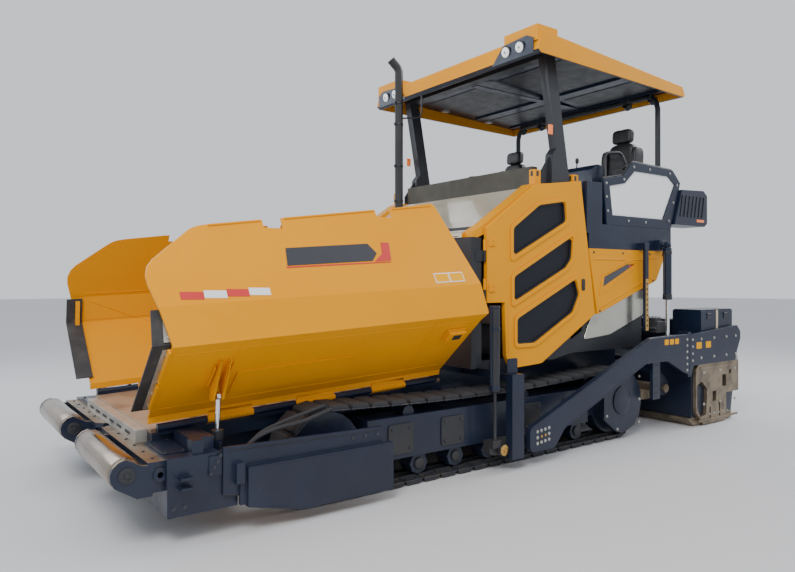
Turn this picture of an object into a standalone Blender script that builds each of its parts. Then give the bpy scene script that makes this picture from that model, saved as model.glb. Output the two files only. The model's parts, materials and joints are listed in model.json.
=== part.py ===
"""Tracked asphalt paver: tractor with a folding hopper, and a floating screed on two tow arms.

Metres, +Z up.  The machine drives towards -Y and its left side is +X.  Lengths along the
machine are measured from the push-roller axis; the empty "paver" then shifts everything so
that the origin lies on the ground under the middle of the whole machine.
"""
from math import acos, cos, pi, radians, sin, sqrt, tan

import bmesh
import bpy
from mathutils import Matrix, Vector

# ---- clearances ------------------------------------------------------------------------
GAP = 0.0003            # between pieces that touch
PLAY = 0.0005           # round a shaft that turns or slides in its bore
SWING = 0.008           # round a piece that swings past another

# ---- overall ---------------------------------------------------------------------------
HALF_WIDTH = 1.50       # outer face of the tow arms
ROLLER_RADIUS = 0.103   # the push rollers are the front of the machine
REAR_Y = 7.24           # rear end of the screed side beams
CENTRE_Y = (REAR_Y - ROLLER_RADIUS) / 2

# ---- push rollers and bumper -----------------------------------------------------------
ROLLER_Z = 0.495
ROLLER_INNER_X = 0.323
ROLLER_OUTER_X = 1.324
ROLLER_SHAFT = 0.03
CHEEK = 0.034
BUMPER_FRONT_Y = 0.125
BUMPER_BACK_Y = 0.235
BUMPER_LOW_Z = 0.36
BUMPER_TOP_Z = 0.555
BOX_LOW_Z = 0.19
BOX_TOP_Z = 0.57
BOX_BACK_Y = 0.58
BOX_OUTER_X = 1.42
GUARD_OUTER_X = 1.50

# ---- hopper ----------------------------------------------------------------------------
FLOOR_HALF = 0.86
FLOOR_FRONT_Y = 0.285
FLOOR_REAR_Y = 2.93
FLOOR_FRONT_Z = 0.655
FLOOR_SLOPE = 0.0491
FLOOR_SHEET = 0.03
HINGE_X = 0.925
HINGE_RADIUS = 0.028
HINGE_FRONT_Z = 0.672
WING_SHEET = 0.02
WING_FRONT_Y = 0.25
WING_REAR_Y = 2.98

# ---- undercarriage ---------------------------------------------------------------------
FRAME_HALF = 0.78
FRAME_LOW_Z = 0.26
FRAME_DECK_Z = 0.90
FRAME_REAR_Y = 5.70
TRACK_INNER_X = 0.965
TRACK_OUTER_X = 1.28
TRACK_SHEET = 0.055
TRACK_GROOVE = 0.022
IDLER_Y = 1.50
IDLER_RADIUS = 0.375
SPROCKET_Y = 5.04
SPROCKET_RADIUS = 0.385
TRACK_SAG = 0.055
SHOE_PITCH = 0.19
TRACK_ROLLERS = 7
ARC_STEPS = 12          # facets of the track round the idler and the sprocket
TOP_STEPS = 10          # facets of the sagging top run
TRACK_ROLLER_RADIUS = 0.095
CARRIER_YS = (2.30, 3.70)
CARRIER_RADIUS = 0.06

# ---- tow points ------------------------------------------------------------------------
POST_Y = (3.24, 3.39)
POST_X = (1.42, 1.50)
POST_Z = (0.10, 0.86)
TOW_ROD_X = 1.42
TOW_ROD_Y = 3.10
TOW_ROD_RADIUS = 0.016
TOW_BARREL_RADIUS = 0.046
TOW_BARREL_Z = (0.72, 1.48)
TOW_PIN_Y = 3.60
TOW_PIN_Z = 0.215
TOW_PIN_RADIUS = 0.03
CROSSHEAD_Z = (0.15, 0.28)

# ---- screed ----------------------------------------------------------------------------
ARM_THICK = 0.06
FLANGE_Y = 6.10
SCREED_FRONT_Y = 6.22
SCREED_REAR_Y = 7.18
SCREED_CLEAR = 0.006    # under the screed plate
SIDE_BEAM_LOW_Z = 0.72
LIFT_X = 1.38
LIFT_Y = 5.84
LIFT_TOP_Z = 2.10
LIFT_EYE_Z = 1.00
LIFT_BARREL = 0.048
LIFT_ROD = 0.022
AUGER_Y = 5.98
AUGER_Z = 0.45
AUGER_RADIUS = 0.18
AUGER_SHAFT = 0.05
AUGER_X = (0.13, 1.18)

# ---- hood and platform -----------------------------------------------------------------
SIDE_X = 1.25           # outer face of doors and side panels
PANEL = 0.045
BULKHEAD_Y = (3.00, 3.06)
BULKHEAD_TOP_Z = 2.10
DOOR_HINGE_X = 1.23
DOOR_HINGE_Y = 3.154
DOOR_KNUCKLE = 0.014
DOOR_KNUCKLE_ZS = (1.62, 1.98)
DOOR_KNUCKLE_TALL = 0.10
PARAPET_Y = (3.97, 4.06)
DECK_Z = (2.04, 2.30)
DECK_Y = (4.62, 6.12)
SEAT_X = 0.88
SEAT_Y = 5.50
CONSOLE_Y = 4.98

# ---- canopy ----------------------------------------------------------------------------
CANOPY_HALF = 1.37
CANOPY_Y = (3.72, 6.22)
CANOPY_FRONT_Z = (3.88, 4.12)
CANOPY_REAR_Z = (3.84, 3.96)
CANOPY_SKIN = 0.03
PILLAR_X = 1.13
STACK_X = -0.50
STACK_Y = 3.44
STACK_RADIUS = 0.047
STACK_FOOT_Z = 2.42
STACK_TOP_Z = 4.22

# ---- paint -----------------------------------------------------------------------------
YELLOW = ("paint_yellow", (0.88, 0.48, 0.03), 0.32, 0.0)
NAVY = ("paint_navy", (0.045, 0.065, 0.12), 0.42, 0.0)
GREY = ("paint_grey", (0.13, 0.13, 0.14), 0.5, 0.0)
SILVER = ("paint_silver", (0.52, 0.50, 0.46), 0.28, 0.6)
STEEL = ("worn_steel", (0.42, 0.38, 0.33), 0.38, 0.9)
ZINC = ("zinc_bar", (0.60, 0.60, 0.56), 0.45, 0.8)
FLOOR_STEEL = ("floor_steel", (0.40, 0.27, 0.18), 0.55, 0.5)
POLISHED = ("polished_roller", (0.75, 0.70, 0.60), 0.18, 1.0)
CHROME = ("rod_chrome", (0.80, 0.80, 0.82), 0.12, 1.0)
RUBBER = ("track_rubber", (0.03, 0.03, 0.035), 0.8, 0.0)
IRON = ("engine_iron", (0.20, 0.20, 0.21), 0.6, 0.3)
LEATHER = ("seat_leather", (0.03, 0.03, 0.035), 0.45, 0.0)
FROSTED = ("frosted_pane", (0.86, 0.87, 0.88), 0.35, 0.0)

SIDES = (("left", 1), ("right", -1))


# ---- scene helpers ---------------------------------------------------------------------
def clear_scene():
    for thing in list(bpy.data.objects):
        bpy.data.objects.remove(thing, do_unlink=True)


def new_collection(name):
    group = bpy.data.collections.new(name)
    bpy.context.scene.collection.children.link(group)
    return group


def finish(paint):
    name, colour, roughness, metallic = paint
    material = bpy.data.materials.get(name)
    if material is None:
        material = bpy.data.materials.new(name)
        material.use_nodes = True
        shader = material.node_tree.nodes["Principled BSDF"]
        shader.inputs["Base Color"].default_value = (*colour, 1.0)
        shader.inputs["Roughness"].default_value = roughness
        shader.inputs["Metallic"].default_value = metallic
    return material


def tool(bm):
    """Put a closed bmesh in the cutters' collection; node() takes it from there."""
    bmesh.ops.recalc_face_normals(bm, faces=bm.faces)
    if bm.calc_volume(signed=True) < 0:
        bmesh.ops.reverse_faces(bm, faces=bm.faces)
    mesh = bpy.data.meshes.new("tool")
    bm.to_mesh(mesh)
    bm.free()
    thing = bpy.data.objects.new("tool", mesh)
    thing.hide_render = True
    thing.display_type = "WIRE"
    thing.parent = PAVER
    CUTTERS.objects.link(thing)
    return thing


def node(name, paint, body, add=(), cut=(), pivot=(0, 0, 0), crease=30):
    """Name a solid, join and cut it, and put its origin on its joint."""
    body.name = body.data.name = name
    body.hide_render = False
    body.display_type = "TEXTURED"
    CUTTERS.objects.unlink(body)
    MODEL.objects.link(body)
    body.data.transform(Matrix.Translation(-Vector(pivot)))
    body.location = pivot
    body.data.materials.append(finish(paint))
    body.data.shade_smooth()
    body.data.set_sharp_from_angle(angle=radians(crease))
    for kind, pieces in (("UNION", add), ("DIFFERENCE", cut)):
        for piece in pieces:
            joint = body.modifiers.new(kind.lower(), "BOOLEAN")
            joint.operation = kind
            joint.object = piece
            joint.solver = "EXACT"
    return body


# ---- shapes ----------------------------------------------------------------------------
def block(x, y, z):
    low = Vector((min(x), min(y), min(z)))
    high = Vector((max(x), max(y), max(z)))
    bm = bmesh.new()
    place = Matrix.Translation((low + high) / 2) @ Matrix.Diagonal((*(high - low), 1.0))
    bmesh.ops.create_cube(bm, size=1.0, matrix=place)
    return tool(bm)


def rod(start, end, radius, sides=20, end_radius=None):
    start, end = Vector(start), Vector(end)
    span = end - start
    turn = span.to_track_quat("Z", "Y").to_matrix().to_4x4()
    bm = bmesh.new()
    bmesh.ops.create_cone(bm, cap_ends=True, segments=sides, radius1=radius,
                          radius2=radius if end_radius is None else end_radius,
                          depth=span.length,
                          matrix=Matrix.Translation((start + end) / 2) @ turn)
    return tool(bm)


def bore(start, end, shaft_radius, sides=20):
    """Cutter for a running fit: its flats clear the corners of a shaft of as many sides."""
    cutter = rod(start, end, (shaft_radius + PLAY) / cos(pi / sides), sides)
    axis = (Vector(end) - Vector(start)).normalized()
    middle = (Vector(start) + Vector(end)) / 2
    half_step = Matrix.Rotation(pi / sides, 4, axis)
    cutter.data.transform(Matrix.Translation(middle) @ half_step @ Matrix.Translation(-middle))
    return cutter


def arc_corner(before, corner, after, radius, steps):
    """Points of the arc that rounds one corner."""
    corner = Vector(corner)
    inward = (Vector(before) - corner).normalized()
    outward = (Vector(after) - corner).normalized()
    half = acos(max(-1.0, min(1.0, inward.dot(outward)))) / 2
    reach = radius / tan(half)
    centre = corner + (inward + outward).normalized() * (radius / sin(half))
    first = corner + inward * reach - centre
    last = corner + outward * reach - centre
    return [centre + first.slerp(last, step / steps).normalized() * radius
            for step in range(steps + 1)]


def rounded(points):
    """A closed outline of (u, v) corners; (u, v, r) rounds that corner by r."""
    corners = []
    count = len(points)
    for index, point in enumerate(points):
        if len(point) == 2:
            corners.append(Vector(point))
            continue
        before = points[index - 1][:2]
        after = points[(index + 1) % count][:2]
        steps = 1 if point[2] < 0.035 else 2 if point[2] < 0.1 else 3
        corners.extend(arc_corner(before, point[:2], after, point[2], steps))
    return corners


AXIS_PLANE = {
    "X": Matrix(((0, 0, 1, 0), (1, 0, 0, 0), (0, 1, 0, 0), (0, 0, 0, 1))),
    "Y": Matrix(((1, 0, 0, 0), (0, 0, -1, 0), (0, 1, 0, 0), (0, 0, 0, 1))),
    "Z": Matrix.Identity(4),
}


def curve_mesh(curve):
    """The curve as one welded mesh."""
    guide = bpy.data.objects.new("guide", curve)
    bpy.context.scene.collection.objects.link(guide)
    bpy.context.view_layer.update()
    ready = guide.evaluated_get(bpy.context.evaluated_depsgraph_get())
    mesh = bpy.data.meshes.new_from_object(ready)
    bpy.data.objects.remove(guide, do_unlink=True)
    bm = bmesh.new()
    bm.from_mesh(mesh)
    bmesh.ops.remove_doubles(bm, verts=bm.verts, dist=1e-5)
    return bm


def outline(points, axis, low, high, holes=()):
    """A flat outline pulled along one axis; "X" takes (y, z), "Y" (x, z) and "Z" (x, y)."""
    curve = bpy.data.curves.new("outline", "CURVE")
    curve.dimensions = "2D"
    curve.fill_mode = "BOTH"
    curve.extrude = abs(high - low) / 2
    for ring in (points, *holes):
        corners = rounded(ring)
        spline = curve.splines.new("POLY")
        spline.points.add(len(corners) - 1)
        for target, corner in zip(spline.points, corners):
            target.co = (corner[0], corner[1], 0, 1)
        spline.use_cyclic_u = True
    bm = curve_mesh(curve)
    middle = (low + high) / 2
    lift = Vector((0, 0, -middle if axis == "Y" else middle))
    bm.transform(AXIS_PLANE[axis] @ Matrix.Translation(lift))
    return tool(bm)


def bent_path(points, radius, steps=3):
    """A route of straight runs whose inner corners are rounded."""
    path = [Vector(points[0])]
    for before, corner, after in zip(points, points[1:], points[2:]):
        path.extend(arc_corner(before, corner, after, radius, steps))
    path.append(Vector(points[-1]))
    return path


def tube(points, radius, resolution=2):
    curve = bpy.data.curves.new("tube", "CURVE")
    curve.dimensions = "3D"
    curve.bevel_depth = radius
    curve.bevel_resolution = resolution
    curve.use_fill_caps = True
    spline = curve.splines.new("POLY")
    spline.points.add(len(points) - 1)
    for target, point in zip(spline.points, points):
        target.co = (*point, 1)
    return tool(curve_mesh(curve))


def side_x(sign, *values):
    """Mirror distances from the centre plane to one side, kept in rising order."""
    return tuple(sorted(sign * value for value in values))


def floor_z(y):
    """Top of the hopper floor, which rises rearwards with the conveyors."""
    return FLOOR_FRONT_Z + (y - FLOOR_FRONT_Y) * FLOOR_SLOPE


def hinge_z(y):
    """Height of the wing hinge, parallel to the hopper floor."""
    return HINGE_FRONT_Z + (y - WING_FRONT_Y) * FLOOR_SLOPE


# ---- chassis ---------------------------------------------------------------------------
def chassis():
    under = FLOOR_SHEET + GAP
    nose = BOX_BACK_Y + 0.05
    body = outline([(nose, FRAME_LOW_Z + 0.04), (nose, floor_z(nose) - under),
                    (FLOOR_REAR_Y, floor_z(FLOOR_REAR_Y) - under),
                    (FLOOR_REAR_Y + 0.02, FRAME_DECK_Z), (FRAME_REAR_Y, FRAME_DECK_Z),
                    (FRAME_REAR_Y, FRAME_LOW_Z + 0.1), (FRAME_REAR_Y - 0.2, FRAME_LOW_Z),
                    (nose + 0.15, FRAME_LOW_Z)], "X", -FRAME_HALF, FRAME_HALF)
    add = []
    track_frame_x = TRACK_INNER_X + 0.05
    for y in ((2.05, 2.55), (3.95, 4.35)):
        add.append(block((GAP - track_frame_x, track_frame_x - GAP), y, (0.33, 0.50)))
    for _, sign in SIDES:
        add.extend(hinge_rail(sign))
        add.append(block(side_x(sign, *POST_X), POST_Y, POST_Z))
        add.append(block(side_x(sign, FRAME_HALF - 0.05, POST_X[1] - 0.02),
                         (POST_Y[0] + 0.02, POST_Y[1] - 0.02), (0.80, POST_Z[1] - 0.01)))
    add.extend(auger_carrier())
    node("main_frame", NAVY, body, add=add[:-2], cut=add[-2:])


def hinge_rail(sign):
    """The rail under one wing, with every other knuckle of the hinge."""
    lower = 0.14
    start, end = BUMPER_BACK_Y + 0.05, WING_REAR_Y - 0.06
    step = BOX_BACK_Y + 0.05
    top = FLOOR_SHEET + GAP
    pieces = [outline([(start, BUMPER_TOP_Z + GAP), (start, floor_z(start) - top),
                       (end, floor_z(end) - top), (end, floor_z(end) - lower),
                       (step, floor_z(step) - lower), (step, BUMPER_TOP_Z + GAP)],
                      "X", *side_x(sign, FRAME_HALF - 0.05, HINGE_X - 0.035))]
    for low, high in rail_knuckles():
        pieces.append(rod((sign * HINGE_X, low, hinge_z(low)),
                          (sign * HINGE_X, high, hinge_z(high)), HINGE_RADIUS, 10))
        web = [(low + 0.01, hinge_z(low) - 0.055), (low + 0.01, hinge_z(low) - 0.01),
               (high - 0.01, hinge_z(high) - 0.01), (high - 0.01, hinge_z(high) - 0.055)]
        pieces.append(outline(web, "X", *side_x(sign, HINGE_X - 0.05, HINGE_X + 0.005)))
    return pieces


def knuckle_edges():
    """Ends of the hinge knuckles, which alternate between rail and wing."""
    count = 7
    start, end = WING_FRONT_Y + 0.06, WING_REAR_Y - 0.16
    pitch = (end - start) / count
    return [(start + pitch * index, start + pitch * (index + 1)) for index in range(count)]


def rail_knuckles():
    return knuckle_edges()[0::2]


def wing_knuckles():
    return [(low + PLAY, high - PLAY) for low, high in knuckle_edges()[1::2]]


def auger_carrier():
    """Gearbox, cross tube and end hangers; the last two pieces are the shaft bores."""
    tube_y, tube_z = (5.74, 5.82), (0.66, 0.74)
    hanger_x = (AUGER_X[1] + 0.03, AUGER_X[1] + 0.07)
    pieces = [block((-0.07, 0.07), (FRAME_REAR_Y - 0.05, AUGER_Y), (AUGER_Z + 0.05, 0.78)),
              rod((-0.10, AUGER_Y, AUGER_Z), (0.10, AUGER_Y, AUGER_Z), 0.11, 20),
              block((-hanger_x[1], hanger_x[1]), tube_y, tube_z),
              block((-0.5, 0.5), (FRAME_REAR_Y - 0.05, tube_y[0] + 0.01), (0.62, 0.76))]
    for _, sign in SIDES:
        pieces.append(outline([(tube_y[0], tube_z[0]), (tube_y[0], tube_z[1]),
                               (tube_y[1] + 0.02, tube_z[1]), (AUGER_Y + 0.08, AUGER_Z + 0.06),
                               (AUGER_Y + 0.08, AUGER_Z - 0.08, 0.06),
                               (AUGER_Y - 0.08, AUGER_Z - 0.08, 0.06)],
                              "X", *side_x(sign, *hanger_x)))
    for _, sign in SIDES:
        pieces.append(bore((sign * 0.085, AUGER_Y, AUGER_Z), (sign * 1.4, AUGER_Y, AUGER_Z),
                           AUGER_SHAFT, 12))
    return pieces


def hopper_floor():
    ridge_half, ridge_height = 0.10, 0.10
    end = FLOOR_REAR_Y
    sheet = outline([(FLOOR_FRONT_Y, floor_z(FLOOR_FRONT_Y) - FLOOR_SHEET),
                     (FLOOR_FRONT_Y, floor_z(FLOOR_FRONT_Y)), (end, floor_z(end)),
                     (end, floor_z(end) - FLOOR_SHEET)], "X", -FLOOR_HALF, FLOOR_HALF)
    start = 1.30
    ridge = outline([(start, floor_z(start) - 0.01), (start + 0.15, floor_z(start) + ridge_height),
                     (end, floor_z(end) + ridge_height), (end, floor_z(end) - 0.01)],
                    "X", -ridge_half, ridge_half)
    node("hopper_floor", FLOOR_STEEL, sheet, add=[ridge])
    bar_z = (BUMPER_TOP_Z + GAP, FLOOR_FRONT_Z - 0.008)
    bar = block((-0.79, 0.79), (0.20, FLOOR_FRONT_Y - GAP), bar_z)
    slots = [block((x - 0.02, x + 0.02), (0.19, 0.215), (bar_z[0] + 0.006, bar_z[0] + 0.026))
             for x in (-0.45, 0.08, 0.58)]
    node("apron_bar", ZINC, bar, cut=slots)


# ---- push rollers and bumper -----------------------------------------------------------
def roller_cheek(x_low, x_high):
    radius = ROLLER_RADIUS - 0.002
    start, stop = radians(95), radians(250)
    steps = 6
    angles = [start + (stop - start) * step / steps for step in range(steps + 1)]
    nose = [(radius * cos(angle), ROLLER_Z + radius * sin(angle)) for angle in angles]
    tail = [(0.06, 0.34), (BUMPER_FRONT_Y + 0.03, 0.34), (BUMPER_FRONT_Y + 0.06, BUMPER_TOP_Z - 0.02),
            (BUMPER_FRONT_Y - 0.03, BUMPER_TOP_Z - 0.015)]
    return outline(nose + tail, "X", x_low, x_high)


def bumper():
    centre = block((-FLOOR_HALF, FLOOR_HALF), (0.16, BOX_BACK_Y + 0.05 - GAP),
                   (BUMPER_LOW_Z, BUMPER_TOP_Z - 0.03))
    add, cut = [], []
    for _, sign in SIDES:
        outer = ROLLER_OUTER_X + SWING + CHEEK
        plan = [(0.06, BUMPER_FRONT_Y + 0.05), (0.11, BUMPER_FRONT_Y), (outer, BUMPER_FRONT_Y),
                (outer, BUMPER_BACK_Y), (FLOOR_HALF, BUMPER_BACK_Y), (FLOOR_HALF, 0.55),
                (0.12, 0.55), (0.06, 0.45)]
        plan = [(sign * x, y) for x, y in plan]
        add.append(outline(plan, "Z", BUMPER_TOP_Z - 0.035, BUMPER_TOP_Z))
        add.append(block(side_x(sign, 0.16, outer), (BUMPER_FRONT_Y + 0.01, BUMPER_BACK_Y),
                         (BUMPER_LOW_Z, BUMPER_TOP_Z - 0.02)))
        for x in ((ROLLER_OUTER_X + SWING, outer),
                  (ROLLER_INNER_X - SWING - CHEEK, ROLLER_INNER_X - SWING)):
            add.append(roller_cheek(*side_x(sign, *x)))
        add.extend(front_box(sign))
        cut.append(bore((sign * (ROLLER_INNER_X - 0.1), 0, ROLLER_Z),
                        (sign * (ROLLER_OUTER_X + 0.1), 0, ROLLER_Z), ROLLER_SHAFT, 14))
        cut.append(rod((sign * 1.2, 0.20, 0.47), (sign * 1.5, 0.20, 0.47), 0.02, 12))
        for z in (0.38, 0.445):
            cut.append(rod((sign * 1.47, 0.335, z - 0.02), (sign * 1.47, 0.335, z + 0.03), 0.014, 10))
    node("front_bumper", NAVY, centre, add=add, cut=cut)
    for side, sign in SIDES:
        push_roller(side, sign)


def front_box(sign):
    """Side box behind the bumper, with its lifting eye, clevis and step bracket."""
    inner = HINGE_X - 0.035 + GAP
    pin_y = BOX_BACK_Y + 0.10
    return [block(side_x(sign, inner, BOX_OUTER_X), (BUMPER_BACK_Y - 0.005, BOX_BACK_Y),
                  (BOX_LOW_Z, BOX_TOP_Z)),
            block(side_x(sign, 1.375, BOX_OUTER_X), (BOX_BACK_Y - 0.02, 0.70),
                  (BOX_LOW_Z, BOX_TOP_Z)),
            block(side_x(sign, inner + 0.06, 1.30), (0.42, BOX_BACK_Y), (BOX_TOP_Z - 0.02, 0.655)),
            block(side_x(sign, 1.30, 1.395), (0.40, 0.475), (BOX_TOP_Z - 0.02, 0.66)),
            block(side_x(sign, 1.355, 1.385), (0.19, 0.26), (0.43, 0.51)),
            rod((sign * 1.355, 0.20, 0.47), (sign * 1.385, 0.20, 0.47), 0.044, 12),
            block(side_x(sign, BOX_OUTER_X - 0.01, 1.495), (0.295, 0.375), (0.372, 0.388)),
            block(side_x(sign, BOX_OUTER_X - 0.01, 1.495), (0.295, 0.375), (0.437, 0.453)),
            block(side_x(sign, BOX_OUTER_X - 0.01, 1.435), (0.50, 0.584), (0.42, 0.55)),
            rod((sign * WING_FOOT[0], BOX_BACK_Y - 0.02, WING_FOOT[1]),
                (sign * WING_FOOT[0], pin_y, WING_FOOT[1]), FOOT_PIN, 12)]


def push_roller(side, sign):
    inner, outer = sign * ROLLER_INNER_X, sign * ROLLER_OUTER_X
    stub = SWING + CHEEK - 0.004
    barrel = rod((inner, 0, ROLLER_Z), (outer, 0, ROLLER_Z), ROLLER_RADIUS, 32)
    shaft = rod((inner - sign * stub, 0, ROLLER_Z), (outer + sign * stub, 0, ROLLER_Z),
                ROLLER_SHAFT, 14)
    node(f"push_roller_{side}", POLISHED, barrel, add=[shaft], pivot=(inner, 0, ROLLER_Z))


def side_guard(side, sign):
    """Deflector plate in front of the track, bolted to the front box."""
    back = outline([(0.59, 0.28), (0.59, 0.60), (1.87, 0.575), (1.87, 0.26), (1.10, 0.20)],
                   "X", *side_x(sign, BOX_OUTER_X + GAP, 1.445))
    plate = outline([(0.745, 0.185), (1.16, 0.09, 0.05), (1.94, 0.09), (1.94, 0.455),
                     (0.745, 0.455)], "X", *side_x(sign, 1.44, GUARD_OUTER_X))
    socket = block(side_x(sign, 1.44, 1.495), (0.665, 0.725), (0.35, 0.49))
    strip = block(side_x(sign, 1.44, 1.47), (0.70, 0.76), (0.20, 0.45))
    node(f"side_guard_{side}", NAVY, back, add=[plate, socket, strip])


# ---- hopper wings ----------------------------------------------------------------------
WING_FOOT = (1.165, 0.27)       # (x, z) of the wing cylinder's foot pin
WING_EYE = (1.175, 0.90)        # (x, z) of its rod eye at rest
WING_CYLINDER_Y = 0.655
FOOT_PIN = 0.018
WING_BARREL = 0.042
WING_ROD = 0.018


def wing_section():
    """The wing sheet in the plane across the hinge, from the hinge lip to the top edge."""
    return [(HINGE_X - 0.005, 0.036), (HINGE_X - 0.005, 0.085), (1.46, 0.615), (1.42, 0.87),
            (0.985, 1.64), (0.90, 1.80)]


def wing_silhouette():
    return [(WING_FRONT_Y, 0.5), (WING_FRONT_Y, 1.30), (0.10, 1.78, 0.16), (0.50, 2.09, 0.25),
            (1.14, 2.175), (2.22, 2.32), (2.72, 2.405, 0.03), (2.92, 1.70), (WING_REAR_Y, 1.43),
            (2.94, 1.36), (2.86, 0.82), (2.86, 0.5)]


def wing(side, sign):
    section = wing_section()
    bm = bmesh.new()
    start, end = -0.1, 3.2
    low = [bm.verts.new((sign * x, start, z + hinge_z(start))) for x, z in section]
    high = [bm.verts.new((sign * x, end, z + hinge_z(end))) for x, z in section]
    for index in range(len(section) - 1):
        ring = [low[index], low[index + 1], high[index + 1], high[index]]
        bm.faces.new(ring if sign > 0 else ring[::-1])
    mesh = bpy.data.meshes.new("sheet")
    bm.to_mesh(mesh)
    bm.free()
    sheet = bpy.data.objects.new("sheet", mesh)
    sheet.parent = PAVER
    CUTTERS.objects.link(sheet)
    thick = sheet.modifiers.new("thick", "SOLIDIFY")
    thick.thickness = WING_SHEET
    thick.offset = 0
    thick.use_even_offset = True
    trim = sheet.modifiers.new("trim", "BOOLEAN")
    trim.operation = "INTERSECT"
    trim.object = outline(wing_silhouette(), "X", *side_x(sign, 0.6, 1.8))
    trim.solver = "EXACT"
    notches = [block(side_x(sign, 0.8, 1.3), (y, y + 0.16), (wing_top(y) - 0.06, wing_top(y) + 0.2))
               for y in (1.02, 2.06)]
    pivot = (sign * HINGE_X, WING_FRONT_Y, HINGE_FRONT_Z)
    node(f"hopper_wing_{side}", YELLOW, sheet, add=wing_fittings(sign), cut=notches, pivot=pivot,
         crease=20)


def wing_top(y):
    """Height of the wing's top edge over its middle stretch."""
    return 2.175 + (y - 1.14) * (2.32 - 2.175) / (2.22 - 1.14)


def wing_fittings(sign):
    pieces = []
    for low, high in wing_knuckles():
        pieces.append(rod((sign * HINGE_X, low, hinge_z(low)),
                          (sign * HINGE_X, high, hinge_z(high)), HINGE_RADIUS, 10))
        web = [(low + 0.01, hinge_z(low) + 0.015), (low + 0.01, hinge_z(low) + 0.06),
               (high - 0.01, hinge_z(high) + 0.06), (high - 0.01, hinge_z(high) + 0.015)]
        pieces.append(outline(web, "X", *side_x(sign, HINGE_X - 0.012, HINGE_X + 0.012)))
    eye_x, eye_z = WING_EYE
    # the front ear stands off further, since the sloping hinge carries the ears rearwards
    for y in (WING_CYLINDER_Y - 0.048, WING_CYLINDER_Y + 0.020):
        ear = [(eye_x - 0.03, eye_z - 0.03, 0.01), (eye_x + 0.035, eye_z - 0.03, 0.01),
               (1.36, 1.168), (1.345, 1.190), (eye_x - 0.02, eye_z + 0.103)]
        pieces.append(outline([(sign * x, *rest) for x, *rest in ear], "Y", y, y + 0.012))
    return pieces


def wing_cylinder(side, sign):
    foot = Vector((sign * WING_FOOT[0], WING_CYLINDER_Y, WING_FOOT[1]))
    eye = Vector((sign * WING_EYE[0], WING_CYLINDER_Y, WING_EYE[1]))
    line = (eye - foot).normalized()
    across = Vector((0, 0.024, 0))
    barrel = rod(foot + line * 0.03, foot + line * 0.39, WING_BARREL, 16)
    heel = rod(foot - across, foot + across, 0.04, 14)
    pin = bore(foot - across * 2, foot + across * 2, FOOT_PIN, 12)
    well = bore(foot + line * 0.055, foot + line * 0.5, WING_ROD, 12)
    node(f"wing_barrel_{side}", NAVY, barrel, add=[heel], cut=[pin, well], pivot=foot)
    shaft = rod(foot + line * 0.25, eye - line * 0.01, WING_ROD, 12)
    head = rod(eye - across * 0.6, eye + across * 0.6, 0.03, 12)
    hole = rod(eye - across * 2, eye + across * 2, 0.014, 8)
    node(f"wing_rod_{side}", CHROME, shaft, add=[head], cut=[hole], pivot=eye)


# ---- tracks ----------------------------------------------------------------------------
def track_top_z(y):
    """Outer height of the sagging top run."""
    share = (y - IDLER_Y) / (SPROCKET_Y - IDLER_Y)
    straight = 2 * IDLER_RADIUS + share * 2 * (SPROCKET_RADIUS - IDLER_RADIUS)
    return straight - TRACK_SAG * sin(pi * share)


def track_run():
    """The outer loop as (y, z, outward angle) at close steps, from the front foot."""
    path = [(IDLER_Y, 0.0, -pi / 2)]
    path.extend(track_arc(SPROCKET_Y, SPROCKET_RADIUS, -pi / 2))
    for step in range(1, TOP_STEPS):
        y = SPROCKET_Y + (IDLER_Y - SPROCKET_Y) * step / TOP_STEPS
        path.append((y, track_top_z(y), pi / 2))
    path.extend(track_arc(IDLER_Y, IDLER_RADIUS, pi / 2))
    return path


def track_arc(y, radius, start):
    """Half a turn round the idler or the sprocket."""
    angles = [start + pi * step / ARC_STEPS for step in range(ARC_STEPS + 1)]
    return [(y + radius * cos(angle), radius + radius * sin(angle), angle) for angle in angles]


def along(path, lengths, distance):
    """Point and outward angle at one distance round the loop."""
    index = 0
    while index < len(lengths) - 2 and lengths[index + 1] < distance:
        index += 1
    share = (distance - lengths[index]) / max(1e-9, lengths[index + 1] - lengths[index])
    first, last = path[index], path[index + 1]
    turn = (last[2] - first[2] + pi) % (2 * pi) - pi
    return (first[0] + (last[0] - first[0]) * share, first[1] + (last[1] - first[1]) * share,
            first[2] + turn * share)


def track_outlines():
    path = track_run()
    lengths = [0.0]
    for first, last in zip(path, path[1:]):
        lengths.append(lengths[-1] + sqrt((last[0] - first[0]) ** 2 + (last[1] - first[1]) ** 2))
    total = lengths[-1]
    count = round(total / SHOE_PITCH)
    pitch = total / count
    outer = []
    for shoe in range(count):
        for share, depth in ((0.07, 0.0), (0.93, 0.0), (0.95, TRACK_GROOVE), (1.05, TRACK_GROOVE)):
            y, z, angle = along(path, lengths, ((shoe + share) * pitch) % total)
            outer.append((y - cos(angle) * depth, z - sin(angle) * depth))
    inner = []
    for y, z, angle in path[1:-1]:
        inner.append((y - cos(angle) * TRACK_SHEET, z - sin(angle) * TRACK_SHEET))
    inner.append((IDLER_Y, TRACK_SHEET))
    return outer, inner


def track(side, sign):
    outer, inner = track_outlines()
    node(f"track_{side}", RUBBER,
         outline(outer, "X", *side_x(sign, TRACK_INNER_X, TRACK_OUTER_X), holes=[inner]))


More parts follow.
